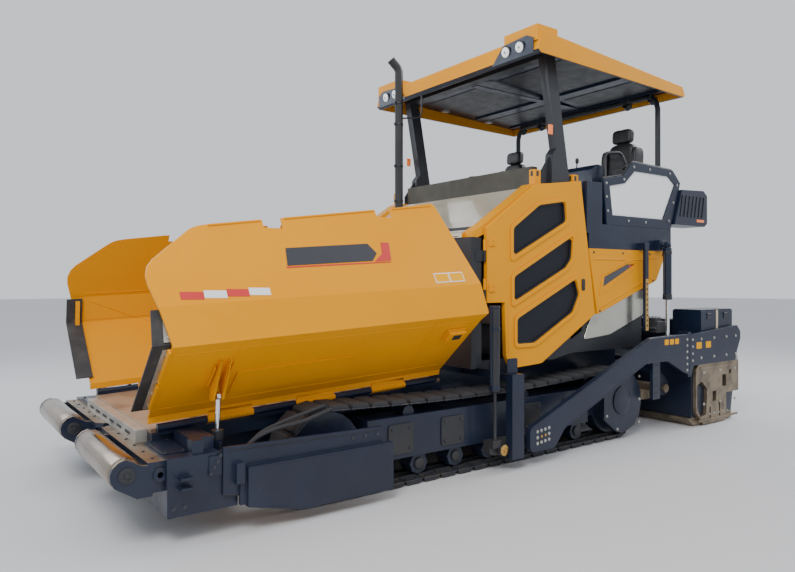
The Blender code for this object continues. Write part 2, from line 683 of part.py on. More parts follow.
def track_frame(side, sign):
    """Side beam with idler, rollers, sprocket and final-drive cover."""
    beam_x = side_x(sign, TRACK_INNER_X + 0.05, TRACK_OUTER_X - 0.03)
    wheel_x = side_x(sign, TRACK_INNER_X + 0.09, TRACK_OUTER_X - 0.07)
    roller_z = TRACK_SHEET + GAP + TRACK_ROLLER_RADIUS
    beam = outline([(1.86, roller_z + 0.08), (1.86, 0.58), (4.60, 0.58), (4.60, roller_z + 0.08)],
                   "X", *beam_x)
    add = [block(wheel_x, (IDLER_Y, 1.90), (0.31, 0.45)),
           block(wheel_x, (4.55, SPROCKET_Y), (0.28, 0.50)),
           end_wheel(wheel_x, IDLER_Y, IDLER_RADIUS), end_wheel(wheel_x, SPROCKET_Y, SPROCKET_RADIUS)]
    for index in range(TRACK_ROLLERS):
        y = 2.0 + index * (4.46 - 2.0) / (TRACK_ROLLERS - 1)
        add.append(rod((wheel_x[0], y, roller_z), (wheel_x[1], y, roller_z),
                       TRACK_ROLLER_RADIUS, 8))
    for y in CARRIER_YS:
        z = track_top_z(y) - TRACK_SHEET - 0.004 - CARRIER_RADIUS
        add.append(rod((wheel_x[0], y, z), (wheel_x[1], y, z), CARRIER_RADIUS, 8))
    cover_z = SPROCKET_RADIUS + 0.005
    cover = [(4.76, 0.24), (5.0, 0.07, 0.2), (5.40, 0.10, 0.28), (5.41, 0.70, 0.28), (5.0, 0.72, 0.2),
             (4.76, 0.56)]
    add.append(outline(cover, "X", *side_x(sign, TRACK_OUTER_X + 0.006, TRACK_OUTER_X + 0.055)))
    add.append(rod((sign * (TRACK_OUTER_X - 0.10), SPROCKET_Y, cover_z),
                   (sign * (TRACK_OUTER_X + 0.03), SPROCKET_Y, cover_z), 0.24, 16))
    node(f"track_frame_{side}", NAVY, beam, add=add)


def end_wheel(x, y, track_radius):
    """Idler or sprocket, whose facets lie against those of the track."""
    radius = track_radius - TRACK_SHEET - GAP
    angles = [pi * step / ARC_STEPS for step in range(2 * ARC_STEPS)]
    rim = [(y + radius * cos(angle), track_radius + radius * sin(angle)) for angle in angles]
    return outline(rim, "X", *x)


# ---- tow points and screed -------------------------------------------------------------
def tow_barrel(side, sign):
    x, y = sign * TOW_ROD_X, TOW_ROD_Y
    low, high = TOW_BARREL_Z
    barrel = rod((x, y, low), (x, y, high), TOW_BARREL_RADIUS, 16)
    well = bore((x, y, low - 0.05), (x, y, high - 0.05), TOW_ROD_RADIUS, 12)
    arm = block(side_x(sign, 1.05, TOW_ROD_X), (BULKHEAD_Y[1] + GAP, BULKHEAD_Y[1] + 0.05),
                (high - 0.16, high - 0.02))
    node(f"tow_barrel_{side}", NAVY, barrel, add=[arm], cut=[well])


def crosshead(side, sign):
    """Tow-point slide block with its rod, guide roller and the pin of the tow arm."""
    low, high = CROSSHEAD_Z
    inner, outer = 1.335, POST_X[0] - GAP
    pivot = (0, TOW_PIN_Y, TOW_PIN_Z)
    body = outline([(TOW_ROD_Y - 0.06, low + 0.02), (TOW_ROD_Y - 0.06, high), (3.62, high, 0.05),
                    (TOW_PIN_Y + 0.07, low, 0.05), (TOW_ROD_Y, low)], "X", *side_x(sign, inner, outer))
    rod_foot = block(side_x(sign, 1.38, 1.45), (TOW_ROD_Y - 0.05, TOW_ROD_Y + 0.05),
                     (high - 0.06, high + 0.01))
    shaft = rod((sign * TOW_ROD_X, TOW_ROD_Y, high - 0.01), (sign * TOW_ROD_X, TOW_ROD_Y, 1.05),
                TOW_ROD_RADIUS, 12)
    pin = rod((sign * (outer - 0.02), *pivot[1:]), (sign * (HALF_WIDTH - 0.002), *pivot[1:]),
              TOW_PIN_RADIUS, 14)
    roller = rod((sign * (POST_X[0] - 0.01), TOW_ROD_Y + 0.075, low + 0.045),
                 (sign * (POST_X[0] + 0.045), TOW_ROD_Y + 0.075, low + 0.045), 0.052, 18)
    node(f"crosshead_{side}", NAVY, body, add=[rod_foot, shaft, pin, roller], pivot=pivot)


def tow_arm(side, sign):
    end = FLANGE_Y - 0.005
    profile = [(3.47, 0.13, 0.05), (3.47, 0.35, 0.06), (5.36, 1.08, 0.3), (end, 1.09),
               (end, 0.62), (5.98, 0.66), (5.66, 0.81, 0.1), (5.26, 0.81, 0.2),
               (3.95, 0.30, 0.15), (3.80, 0.13, 0.04)]
    arm = outline(profile, "X", *side_x(sign, HALF_WIDTH - ARM_THICK, HALF_WIDTH))
    pin_hole = bore((sign * 1.3, TOW_PIN_Y, TOW_PIN_Z), (sign * 1.6, TOW_PIN_Y, TOW_PIN_Z),
                    TOW_PIN_RADIUS, 14)
    flange = block(side_x(sign, HALF_WIDTH - 0.13, HALF_WIDTH - 0.003),
                   (FLANGE_Y - 0.03, FLANGE_Y - GAP), (0.60, 1.11))
    hanger = block(side_x(sign, HALF_WIDTH - ARM_THICK - 0.015, HALF_WIDTH - ARM_THICK + 0.02),
                   (5.44, 5.575), (0.40, 0.90))
    node(f"tow_arm_{side}", NAVY, arm, add=[hanger, flange], cut=[pin_hole],
         pivot=(0, TOW_PIN_Y, TOW_PIN_Z))


def side_beam(side, sign):
    """Rear length of the tow arm, the screed's side frame."""
    profile = [(FLANGE_Y, SIDE_BEAM_LOW_Z - 0.12), (FLANGE_Y, 1.11), (FLANGE_Y + 0.03, 1.11),
               (FLANGE_Y + 0.04, 1.08), (7.16, 1.15, 0.02), (REAR_Y, 1.07), (REAR_Y, 0.98),
               (7.12, 0.76), (7.12, SIDE_BEAM_LOW_Z), (FLANGE_Y + 0.09, SIDE_BEAM_LOW_Z),
               (FLANGE_Y + 0.03, SIDE_BEAM_LOW_Z - 0.12)]
    beam = outline(profile, "X", *side_x(sign, HALF_WIDTH - ARM_THICK, HALF_WIDTH))
    node(f"screed_side_beam_{side}", NAVY, beam, pivot=(0, TOW_PIN_Y, TOW_PIN_Z))


def end_gate(side, sign):
    """Worn mounting plate at the screed's end, with its slots and cut-outs."""
    top = SIDE_BEAM_LOW_Z - GAP
    front, rear = SCREED_FRONT_Y + 0.04, 7.22
    profile = [(front + 0.16, SCREED_CLEAR + 0.002), (front, 0.16), (front, top - 0.06),
               (front + 0.05, top), (rear, top), (rear, 0.34), (6.93, 0.34), (6.93, 0.03, 0.02),
               (6.90, SCREED_CLEAR + 0.002)]
    plate = outline(profile, "X", *side_x(sign, HALF_WIDTH - ARM_THICK + GAP, HALF_WIDTH - 0.015))
    through = side_x(sign, HALF_WIDTH - 0.2, HALF_WIDTH + 0.1)
    cut = [block(through, (6.84, 6.93), (0.42, 0.56)), block(through, (6.62, 6.70), (0.26, 0.38)),
           block(through, (6.55, 6.58), (0.06, 0.20)), block(through, (6.76, 6.79), (0.06, 0.24)),
           block(through, (7.00, 7.05), (0.56, 0.61)),
           outline([(front + 0.02, 0.22), (front + 0.10, 0.10), (front + 0.22, 0.12),
                    (front + 0.24, 0.42, 0.04), (front + 0.12, 0.52, 0.04), (front + 0.02, 0.48)],
                   "X", *through)]
    node(f"end_gate_{side}", STEEL, plate, cut=cut, pivot=(0, TOW_PIN_Y, TOW_PIN_Z))


def screed():
    half = HALF_WIDTH - ARM_THICK - GAP
    front, rear = SCREED_FRONT_Y, SCREED_REAR_Y
    pivot = (0, TOW_PIN_Y, TOW_PIN_Z)
    body = outline([(front + 0.01, 0.10), (front, 0.74), (front + 0.16, 0.84), (front + 0.16, 1.02),
                    (rear, 1.06), (rear, 0.40), (rear - 0.06, 0.10)], "X", -half, half)
    add = []
    for _, sign in SIDES:
        add.append(block(side_x(sign, 1.06, half - 0.01), (6.46, rear - 0.01), (1.0, 1.34)))
        add.append(block(side_x(sign, 0.55, 1.0), (6.50, 6.80), (1.0, 1.22)))
    add.append(block((-0.45, 0.45), (6.50, 7.0), (1.0, 1.16)))
    node("screed_frame", NAVY, body, add=add, pivot=pivot)
    plate = outline([(front - 0.03, SCREED_CLEAR + 0.07), (front - 0.03, 0.10 - GAP),
                     (rear - 0.05, 0.10 - GAP), (rear - 0.05, SCREED_CLEAR),
                     (front + 0.06, SCREED_CLEAR)], "X", -half, half)
    node("screed_plate", STEEL, plate, pivot=pivot)


def auger(side, sign):
    """One spreading auger: a helical flight on a shaft, opposite hand on each side."""
    turns, pitch_angle, blade = 3.0, 9, 0.016
    start, end = AUGER_X[0] + 0.02, AUGER_X[1] - 0.03
    bm = bmesh.new()
    inner = AUGER_SHAFT - 0.012
    corners = [(start, inner), (start, AUGER_RADIUS), (start + blade, AUGER_RADIUS),
               (start + blade, inner)]
    section = [bm.verts.new((sign * x, AUGER_Y, AUGER_Z + radius)) for x, radius in corners]
    face = bm.faces.new(section)
    travel = (end - start - blade) / (turns * pitch_angle)
    bmesh.ops.spin(bm, geom=[face, *face.edges, *face.verts], cent=(0, AUGER_Y, AUGER_Z),
                   axis=(sign, 0, 0), dvec=(sign * travel, 0, 0), angle=2 * pi * turns,
                   steps=int(turns * pitch_angle), use_duplicate=False)
    flight = tool(bm)
    shaft = rod((sign * 0.09, AUGER_Y, AUGER_Z), (sign * (AUGER_X[1] + 0.10), AUGER_Y, AUGER_Z),
                AUGER_SHAFT, 12)
    node(f"auger_{side}", STEEL, shaft, add=[flight], pivot=(0, AUGER_Y, AUGER_Z))


def lift_cylinder(side, sign):
    top = Vector((sign * LIFT_X, LIFT_Y, LIFT_TOP_Z))
    eye = Vector((sign * LIFT_X, LIFT_Y, LIFT_EYE_Z))
    across = Vector((0.024, 0, 0))
    mouth = eye.lerp(top, 0.44)
    barrel = rod(top - Vector((0, 0, 0.03)), mouth, LIFT_BARREL, 16)
    head = rod(top - across, top + across, 0.042, 14)
    pin = bore(top - across * 3, top + across * 3, FOOT_PIN, 12)
    well = bore(top - Vector((0, 0, 0.06)), mouth - Vector((0, 0, 0.1)), LIFT_ROD, 12)
    node(f"lift_barrel_{side}", NAVY, barrel, add=[head], cut=[pin, well], pivot=top)
    shaft = rod(eye, top - Vector((0, 0, 0.50)), LIFT_ROD, 12)
    foot = rod(eye - across, eye + across, 0.04, 12)
    hole = rod(eye - across * 2, eye + across * 2, 0.018, 8)
    node(f"lift_rod_{side}", CHROME, shaft, add=[foot], cut=[hole], pivot=eye)


# ---- hood ------------------------------------------------------------------------------
def hood():
    wall = block((-SIDE_X + 0.03, SIDE_X - 0.03), BULKHEAD_Y, (FRAME_DECK_Z + GAP, BULKHEAD_TOP_Z))
    node("bulkhead", GREY, wall, add=door_brackets())
    node("engine_block", IRON, block((-0.42, 0.42), (3.35, 4.45), (FRAME_DECK_Z + GAP, 1.85)))
    low = BULKHEAD_TOP_Z + GAP
    sheet = 0.035
    bonnet = outline([(BULKHEAD_Y[0] - 0.01, low), (BULKHEAD_Y[0] - 0.01, low + 0.04),
                      (3.20, low + 0.10), (3.86, 2.63), (4.56, 2.70), (4.56, 2.70 - sheet),
                      (3.87, 2.63 - sheet), (3.23, low + 0.09 - sheet), (3.05, low)],
                     "X", -1.10, 1.10)
    cheeks = []
    for _, sign in SIDES:
        cheeks.append(outline([(BULKHEAD_Y[0] + 0.03, low), (BULKHEAD_Y[0] + 0.03, low + 0.05),
                               (3.17, low + 0.12), (3.82, 2.65), (4.56, 2.73), (4.56, 2.68),
                               (3.85, 2.60), (3.22, low + 0.05), (3.10, low)],
                              "X", *side_x(sign, 1.06, SIDE_X - PANEL - SWING)))
        for y in (3.86, 4.43):
            cheeks.append(block(side_x(sign, 1.12, 1.19), (y, y + 0.09), (2.62, 2.80)))
    collar = block((STACK_X - 0.08, STACK_X + 0.08), (STACK_Y - 0.08, STACK_Y + 0.08),
                   (2.28, STACK_FOOT_Z))
    node("hood", SILVER, bonnet, add=[*cheeks, collar])
    front, back = PARAPET_Y
    parapet = [(front, hood_top(front) + GAP), (front, 2.86), (back, 2.86),
               (back, hood_top(back) + GAP)]
    node("dash_parapet", GREY, outline(parapet, "X", -1.05, 1.05))


def hood_top(y):
    """Upper face of the bonnet's flat rear part."""
    return 2.63 + (y - 3.86) * (2.70 - 2.63) / (4.56 - 3.86)


def cheek_top(y):
    """Upper edge of the hood's side cheeks behind their bend."""
    return 2.65 + (y - 3.82) * (2.73 - 2.65) / (4.56 - 3.82)


def door_brackets():
    """Fixed knuckles of the side-door hinges, each below one of the door's own."""
    pieces = []
    for _, sign in SIDES:
        for top in DOOR_KNUCKLE_ZS:
            low, high = top - DOOR_KNUCKLE_TALL, top - PLAY
            x = sign * DOOR_HINGE_X
            pieces.append(rod((x, DOOR_HINGE_Y, low), (x, DOOR_HINGE_Y, high), DOOR_KNUCKLE, 8))
            pieces.append(block(side_x(sign, DOOR_HINGE_X - 0.04, DOOR_HINGE_X - 0.004),
                                (BULKHEAD_Y[1] - 0.01, DOOR_HINGE_Y + 0.002), (low, high)))
    return pieces


def door_profile():
    return [(3.17, 1.50), (3.17, 2.19), (3.82, 2.64, 0.06), (4.49, 2.73), (4.72, 1.35),
            (3.90, 0.895, 0.12), (3.48, 0.875, 0.06), (3.41, 1.0), (3.395, 1.50)]


def door_windows():
    top = [(3.50, 1.93), (3.50, 2.20), (3.86, 2.44), (4.24, 2.50), (4.26, 2.30)]
    middle = [(3.51, 1.50), (3.51, 1.74), (4.36, 2.16), (4.34, 1.92), (4.25, 1.83)]
    low = [(3.55, 1.10), (3.55, 1.34), (4.40, 1.72), (4.46, 1.56), (4.36, 1.38), (3.80, 1.10)]
    return [[(*corner, 0.03) for corner in window] for window in (top, middle, low)]


def side_door(side, sign):
    skin = outline(door_profile(), "X", *side_x(sign, SIDE_X - PANEL, SIDE_X))
    pockets = [outline(window, "X", *side_x(sign, SIDE_X - 0.028, SIDE_X + 0.05))
               for window in door_windows()]
    hinges = []
    x = sign * DOOR_HINGE_X
    for low in DOOR_KNUCKLE_ZS:
        high = low + DOOR_KNUCKLE_TALL
        hinges.append(rod((x, DOOR_HINGE_Y, low), (x, DOOR_HINGE_Y, high), DOOR_KNUCKLE, 8))
        hinges.append(block((x - 0.006, x + 0.006), (DOOR_HINGE_Y, DOOR_HINGE_Y + 0.02),
                            (low + 0.005, high - 0.005)))
    node(f"side_door_{side}", YELLOW, skin, cut=pockets, add=hinges,
         pivot=(x, DOOR_HINGE_Y, 1.5))


def rear_panel(side, sign):
    top = DECK_Z[0] - GAP
    profile = [(4.62, top), (6.03, top), (5.83, 1.70, 0.05), (4.765, 1.345)]
    body = outline(profile, "X", *side_x(sign, SIDE_X - PANEL, SIDE_X))
    inset = outline([(4.86, 1.63), (4.88, 1.74), (5.28, 1.88), (5.42, 1.88)],
                    "X", *side_x(sign, SIDE_X - 0.012, SIDE_X + 0.05))
    node(f"rear_panel_{side}", YELLOW, body, cut=[inset])


def rear_body():
    """Box under the platform, with the grey side skirts and tanks."""
    outer = SIDE_X - PANEL - SWING
    core = block((-outer, outer), (4.66, 5.62), (0.955, DECK_Z[0] - GAP))
    add, cut = [], []
    for _, sign in SIDES:
        skirt = [(3.93, 0.925), (4.12, 0.905), (4.42, 0.955), (5.27, 0.955), (5.66, 1.30),
                 (5.72, 1.75), (4.70, 1.75), (4.70, 1.60), (4.4, 1.18)]
        add.append(outline(skirt, "X", *side_x(sign, outer - 0.03, outer)))
        for y in (4.12, 4.40):
            slot = [(y, 1.00 + (y - 4.12) * 0.35), (y, 1.05 + (y - 4.12) * 0.35),
                    (y + 0.17, 1.13 + (y - 4.12) * 0.35), (y + 0.17, 1.08 + (y - 4.12) * 0.35)]
            cut.append(outline(slot, "X", *side_x(sign, outer - 0.1, outer + 0.1)))
    seat = block((-0.75, 0.75), (4.66, 5.62), (FRAME_DECK_Z + GAP, 1.0))
    node("rear_body", GREY, core, add=[*add, seat], cut=cut)


# ---- platform --------------------------------------------------------------------------
def platform():
    deck = block((-SIDE_X, SIDE_X), DECK_Y, DECK_Z)
    add = []
    for _, sign in SIDES:
        add.append(block(side_x(sign, SIDE_X - 0.06, SIDE_X), (4.585, 4.84), (2.20, 2.74)))
        add.append(block(side_x(sign, 0.62, SIDE_X - 0.01), (4.58, 4.66), (2.25, 2.66)))
        add.append(block(side_x(sign, 1.15, 1.335), (5.48, 5.56), (2.05, 2.12)))
        add.append(block(side_x(sign, 1.30, 1.335), (5.49, 5.55), (1.14, 2.10)))
        add.append(block(side_x(sign, 1.15, 1.325), (5.78, 5.90), (2.05, 2.16)))
        add.append(rod((sign * 1.3, LIFT_Y, LIFT_TOP_Z), (sign * 1.42, LIFT_Y, LIFT_TOP_Z),
                       FOOT_PIN, 12))
        add.append(block(side_x(sign, SEAT_X - 0.17, SEAT_X + 0.17), (SEAT_Y - 0.18, SEAT_Y + 0.18),
                         (2.29, 2.66)))
        add.append(outline([(CONSOLE_Y - 0.12, 2.28), (CONSOLE_Y - 0.12, 3.10), (CONSOLE_Y - 0.02, 3.24),
                            (CONSOLE_Y + 0.12, 3.20), (CONSOLE_Y + 0.16, 2.28)],
                           "X", *side_x(sign, SEAT_X - 0.24, SEAT_X + 0.22)))
        add.append(outline([(6.155, 2.36), (6.305, 2.78), (6.78, 2.80), (6.86, 2.74), (6.86, 2.40),
                            (6.80, 2.36)], "X", *side_x(sign, 0.98, 1.28)))
        add.append(block(side_x(sign, 1.0, 1.20), (6.08, 6.25), (2.38, 2.46)))
        add.append(block(side_x(sign, 1.0, 1.20), (6.08, 6.13), (2.20, 2.46)))
    add.append(block((-0.62, 0.62), (4.58, 4.66), (2.25, 2.66)))
    for y in (5.75, 6.0):
        add.append(block((-0.6, 0.6), (y, y + 0.05), (1.72, 2.06)))
    node("platform_deck", NAVY, deck, add=add)


def screen(side, sign):
    """Weather screen beside the seat: a steel frame and its frosted pane."""
    x = side_x(sign, SIDE_X - 0.04, SIDE_X)
    frame = outline([(4.92, DECK_Z[1] + GAP), (4.86, 2.79), (5.20, 2.85, 0.05), (5.38, 3.02, 0.05),
                     (6.16, 3.00), (6.32, 2.86), (6.12, DECK_Z[1] + GAP)], "X", *x)
    opening = [(5.02, 2.41), (4.97, 2.72), (5.24, 2.77), (5.42, 2.92), (6.06, 2.92), (6.20, 2.83),
               (5.96, 2.41)]
    hole = outline(opening, "X", *side_x(sign, SIDE_X - 0.2, SIDE_X + 0.2))
    node(f"screen_frame_{side}", NAVY, frame, cut=[hole])
    pane = outline(shrink(opening, GAP), "X", *side_x(sign, SIDE_X - 0.026, SIDE_X - 0.014))
    node(f"screen_pane_{side}", FROSTED, pane)


def shrink(points, amount):
    """Move each corner of an outline inwards, towards its middle."""
    middle = sum((Vector(point) for point in points), Vector((0, 0))) / len(points)
    result = []
    for point in points:
        corner = Vector(point)
        result.append(tuple(corner + (middle - corner).normalized() * amount * 2))
    return result


def seat(side, sign):
    base = 2.66 + GAP
    x = side_x(sign, SEAT_X - 0.26, SEAT_X + 0.26)
    cushion = block(x, (SEAT_Y - 0.28, SEAT_Y + 0.22), (base, base + 0.16))
    back = outline([(SEAT_Y + 0.13, base + 0.10), (SEAT_Y + 0.19, base + 0.62, 0.05),
                    (SEAT_Y + 0.31, base + 0.62, 0.05), (SEAT_Y + 0.28, base + 0.10)],
                   "X", *side_x(sign, SEAT_X - 0.23, SEAT_X + 0.23))
    head = outline([(SEAT_Y + 0.19, base + 0.60), (SEAT_Y + 0.20, base + 0.82, 0.04),
                    (SEAT_Y + 0.31, base + 0.82, 0.04), (SEAT_Y + 0.30, base + 0.60)],
                   "X", *side_x(sign, SEAT_X - 0.13, SEAT_X + 0.13))
    arms = [block(side_x(sign, SEAT_X + offset, SEAT_X + offset + 0.06), (SEAT_Y - 0.18, SEAT_Y + 0.2),
                  (base + 0.10, base + 0.33)) for offset in (-0.31, 0.25)]
    node(f"seat_{side}", LEATHER, cushion, add=[back, head, *arms])


# ---- canopy ----------------------------------------------------------------------------
def canopy():
    front, rear = CANOPY_Y
    side_cut = 0.05
    low_front, top_front = CANOPY_FRONT_Z
    low_rear, top_rear = CANOPY_REAR_Z
    shell = outline([(front, low_front + 0.03), (front + 0.05, top_front - 0.02, 0.04),
                     (rear - side_cut, top_rear), (rear, low_rear + 0.03), (rear - 0.02, low_rear),
                     (front + 0.04, low_front)], "X", -CANOPY_HALF, CANOPY_HALF)
    cavity = outline([(front + 0.06, low_front - 0.1), (front + 0.06, top_front - 0.08),
                      (rear - 0.06, top_rear - CANOPY_SKIN), (rear - 0.06, low_rear - 0.1)],
                     "X", -CANOPY_HALF + CANOPY_SKIN, CANOPY_HALF - CANOPY_SKIN)
    pods = [block(side_x(sign, 0.90, CANOPY_HALF - 0.02), (front + 0.01, front + 0.30),
                  (low_front + 0.12, top_front + 0.04)) for _, sign in SIDES]
    node("canopy_roof", YELLOW, shell, cut=[cavity], add=pods)
    front_frame()
    rear_hoop()


def canopy_roof_under(y):
    """Underside of the canopy skin, where the frames meet it."""
    front, rear = CANOPY_Y[0] + 0.06, CANOPY_Y[1] - 0.06
    top_front, top_rear = CANOPY_FRONT_Z[1] - 0.08, CANOPY_REAR_Z[1] - CANOPY_SKIN
    return top_front + (y - front) / (rear - front) * (top_rear - top_front)


def front_frame():
    beam_y = (4.02, 4.14)
    top = canopy_roof_under(4.16) - GAP
    beam = block((-PILLAR_X, PILLAR_X), beam_y, (top - 0.08, top))
    add = []
    for _, sign in SIDES:
        pillar = [(4.02, top), (4.16, top), (4.40, cheek_top(4.40) + GAP),
                  (4.12, cheek_top(4.12) + GAP), (4.14, 2.98), (4.20, 3.05)]
        foot = [(3.99, cheek_top(3.99) + 0.002), (3.99, 2.76), (4.18, 3.02), (4.22, 2.9),
                (4.3, cheek_top(4.3) + 0.002)]
        add.append(outline(pillar, "X", *side_x(sign, PILLAR_X - 0.05, PILLAR_X + 0.05)))
        add.append(outline(foot, "X", *side_x(sign, PILLAR_X - 0.012, PILLAR_X + 0.012)))
    node("canopy_front_frame", GREY, beam, add=add)


def rear_hoop():
    base = DECK_Z[1] + GAP
    radius = 0.032
    y = 6.04
    roof = canopy_roof_under(y + radius) - GAP
    top = roof - radius - 0.01
    route = bent_path([(-PILLAR_X, y, base), (-PILLAR_X, y, top), (PILLAR_X, y, top),
                       (PILLAR_X, y, base)], 0.16)
    pads = [block((x - 0.06, x + 0.06), (y - radius, y + radius), (top, roof)) for x in (-0.7, 0.7)]
    node("canopy_rear_hoop", GREY, tube(route, radius), add=pads)


def exhaust():
    foot = STACK_FOOT_Z + GAP
    rim_y, rim_z = CANOPY_Y[0] + 0.05, CANOPY_FRONT_Z[0] - 3 * GAP
    route = bent_path([(STACK_X, STACK_Y, foot), (STACK_X, STACK_Y, STACK_TOP_Z - 0.10),
                       (STACK_X - 0.02, STACK_Y - 0.10, STACK_TOP_Z)], 0.09)
    stay = bent_path([(STACK_X, STACK_Y, 3.56), (STACK_X, rim_y, 3.62), (STACK_X, rim_y, rim_z)],
                     0.08)
    node("exhaust_stack", GREY, tube(route, STACK_RADIUS), add=[tube(stay, 0.010, 1)])


# ---- assembly --------------------------------------------------------------------------
def build():
    chassis()
    hopper_floor()
    bumper()
    hood()
    rear_body()
    platform()
    screed()
    canopy()
    exhaust()
    for side, sign in SIDES:
        for maker in (side_guard, wing, wing_cylinder, track, track_frame, tow_barrel, crosshead,
                      tow_arm, side_beam, end_gate, auger, lift_cylinder, side_door, rear_panel,
                      screen, seat):
            maker(side, sign)


clear_scene()
MODEL = new_collection("asphalt_paver")
CUTTERS = new_collection("cutters")
PAVER = bpy.data.objects.new("paver", None)
PAVER.location = (0, -CENTRE_Y, 0)
MODEL.objects.link(PAVER)
build()
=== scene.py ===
"""Looks of the tracked asphalt paver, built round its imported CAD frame.

Lengths along the machine are measured from the push-roller axis, as a fitter would with a tape
from the front of the machine; Datum turns them into the frame's own coordinates.  Each
sub-assembly is a class whose fields are its sizes and whose methods make and dress its pieces.
"""
from __future__ import annotations

import json
import logging
from collections.abc import Callable, Iterable, Sequence
from dataclasses import dataclass
from enum import Enum
from math import cos, exp, pi, radians, sin

import bmesh
import bpy
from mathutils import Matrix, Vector

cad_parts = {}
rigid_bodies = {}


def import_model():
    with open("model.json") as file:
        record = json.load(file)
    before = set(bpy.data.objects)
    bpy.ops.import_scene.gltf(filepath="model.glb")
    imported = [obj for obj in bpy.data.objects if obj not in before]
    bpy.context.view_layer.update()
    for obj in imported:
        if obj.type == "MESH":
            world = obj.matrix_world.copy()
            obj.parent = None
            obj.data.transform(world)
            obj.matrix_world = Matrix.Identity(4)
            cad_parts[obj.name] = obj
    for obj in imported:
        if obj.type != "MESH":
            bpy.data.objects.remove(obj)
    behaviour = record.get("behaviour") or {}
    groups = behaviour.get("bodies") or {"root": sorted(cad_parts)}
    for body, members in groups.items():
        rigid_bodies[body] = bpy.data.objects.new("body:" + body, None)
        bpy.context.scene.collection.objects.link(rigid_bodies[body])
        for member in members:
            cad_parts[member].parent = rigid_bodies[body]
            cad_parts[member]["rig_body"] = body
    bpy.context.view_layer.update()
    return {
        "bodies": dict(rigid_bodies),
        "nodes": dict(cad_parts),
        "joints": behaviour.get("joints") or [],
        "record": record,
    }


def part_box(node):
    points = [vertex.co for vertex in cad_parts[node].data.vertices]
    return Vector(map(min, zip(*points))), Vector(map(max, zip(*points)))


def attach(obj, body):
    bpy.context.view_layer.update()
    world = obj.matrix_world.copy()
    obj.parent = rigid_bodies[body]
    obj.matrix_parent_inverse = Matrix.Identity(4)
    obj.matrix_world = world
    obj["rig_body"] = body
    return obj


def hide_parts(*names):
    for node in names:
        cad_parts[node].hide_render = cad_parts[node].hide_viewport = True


LOG = logging.getLogger("paver")
Colour = tuple[float, float, float]
Point = tuple[float, float, float]
Flat = tuple[float, float]
Ring = list[bmesh.types.BMVert]
Chooser = Callable[[Vector, Vector], int]
EAST, UP = (1, 0, 0), (0, 0, 1)


class Side(Enum):
    """The two sides of the machine."""

    LEFT = 1
    RIGHT = -1

    @property
    def word(self) -> str:
        """The side's name in piece and node names."""
        return self.name.lower()


class Texture(Enum):
    """What the fine surface of a finish looks like."""

    GRAIN = "fine grain"
    BRUSHED = "long scratches"
    CAST = "rough casting"
    HIDE = "leather pores"
    MESH = "perforated sheet"
    BANDS = "wear bands along the roller"
    TREAD = "raised tread lozenges"
    HONEYCOMB = "reflective tape cells"


@dataclass(frozen=True)
class Finish:
    """A paint, metal, rubber or hide, with the wear and soil it carries."""

    name: str
    colour: Colour
    patch: Colour
    roughness: float
    metallic: float = 0.0
    patch_share: float = 0.25
    patch_scale: float = 2.2
    texture: Texture = Texture.GRAIN
    grain_scale: float = 260.0
    grain_height: float = 0.0004
    coat: float = 0.0
    soil: float = 0.0
    glow: float = 0.0
    clear: float = 0.0
    shine: float = 0.5
    slot: str = "paint_navy"

    def material(self) -> bpy.types.Material:
        """The finish as a node material, made once.

        Returns:
            The Blender material.
        """
        material = bpy.data.materials.get(self.name)
        return material if material else MaterialMaker(self).make()


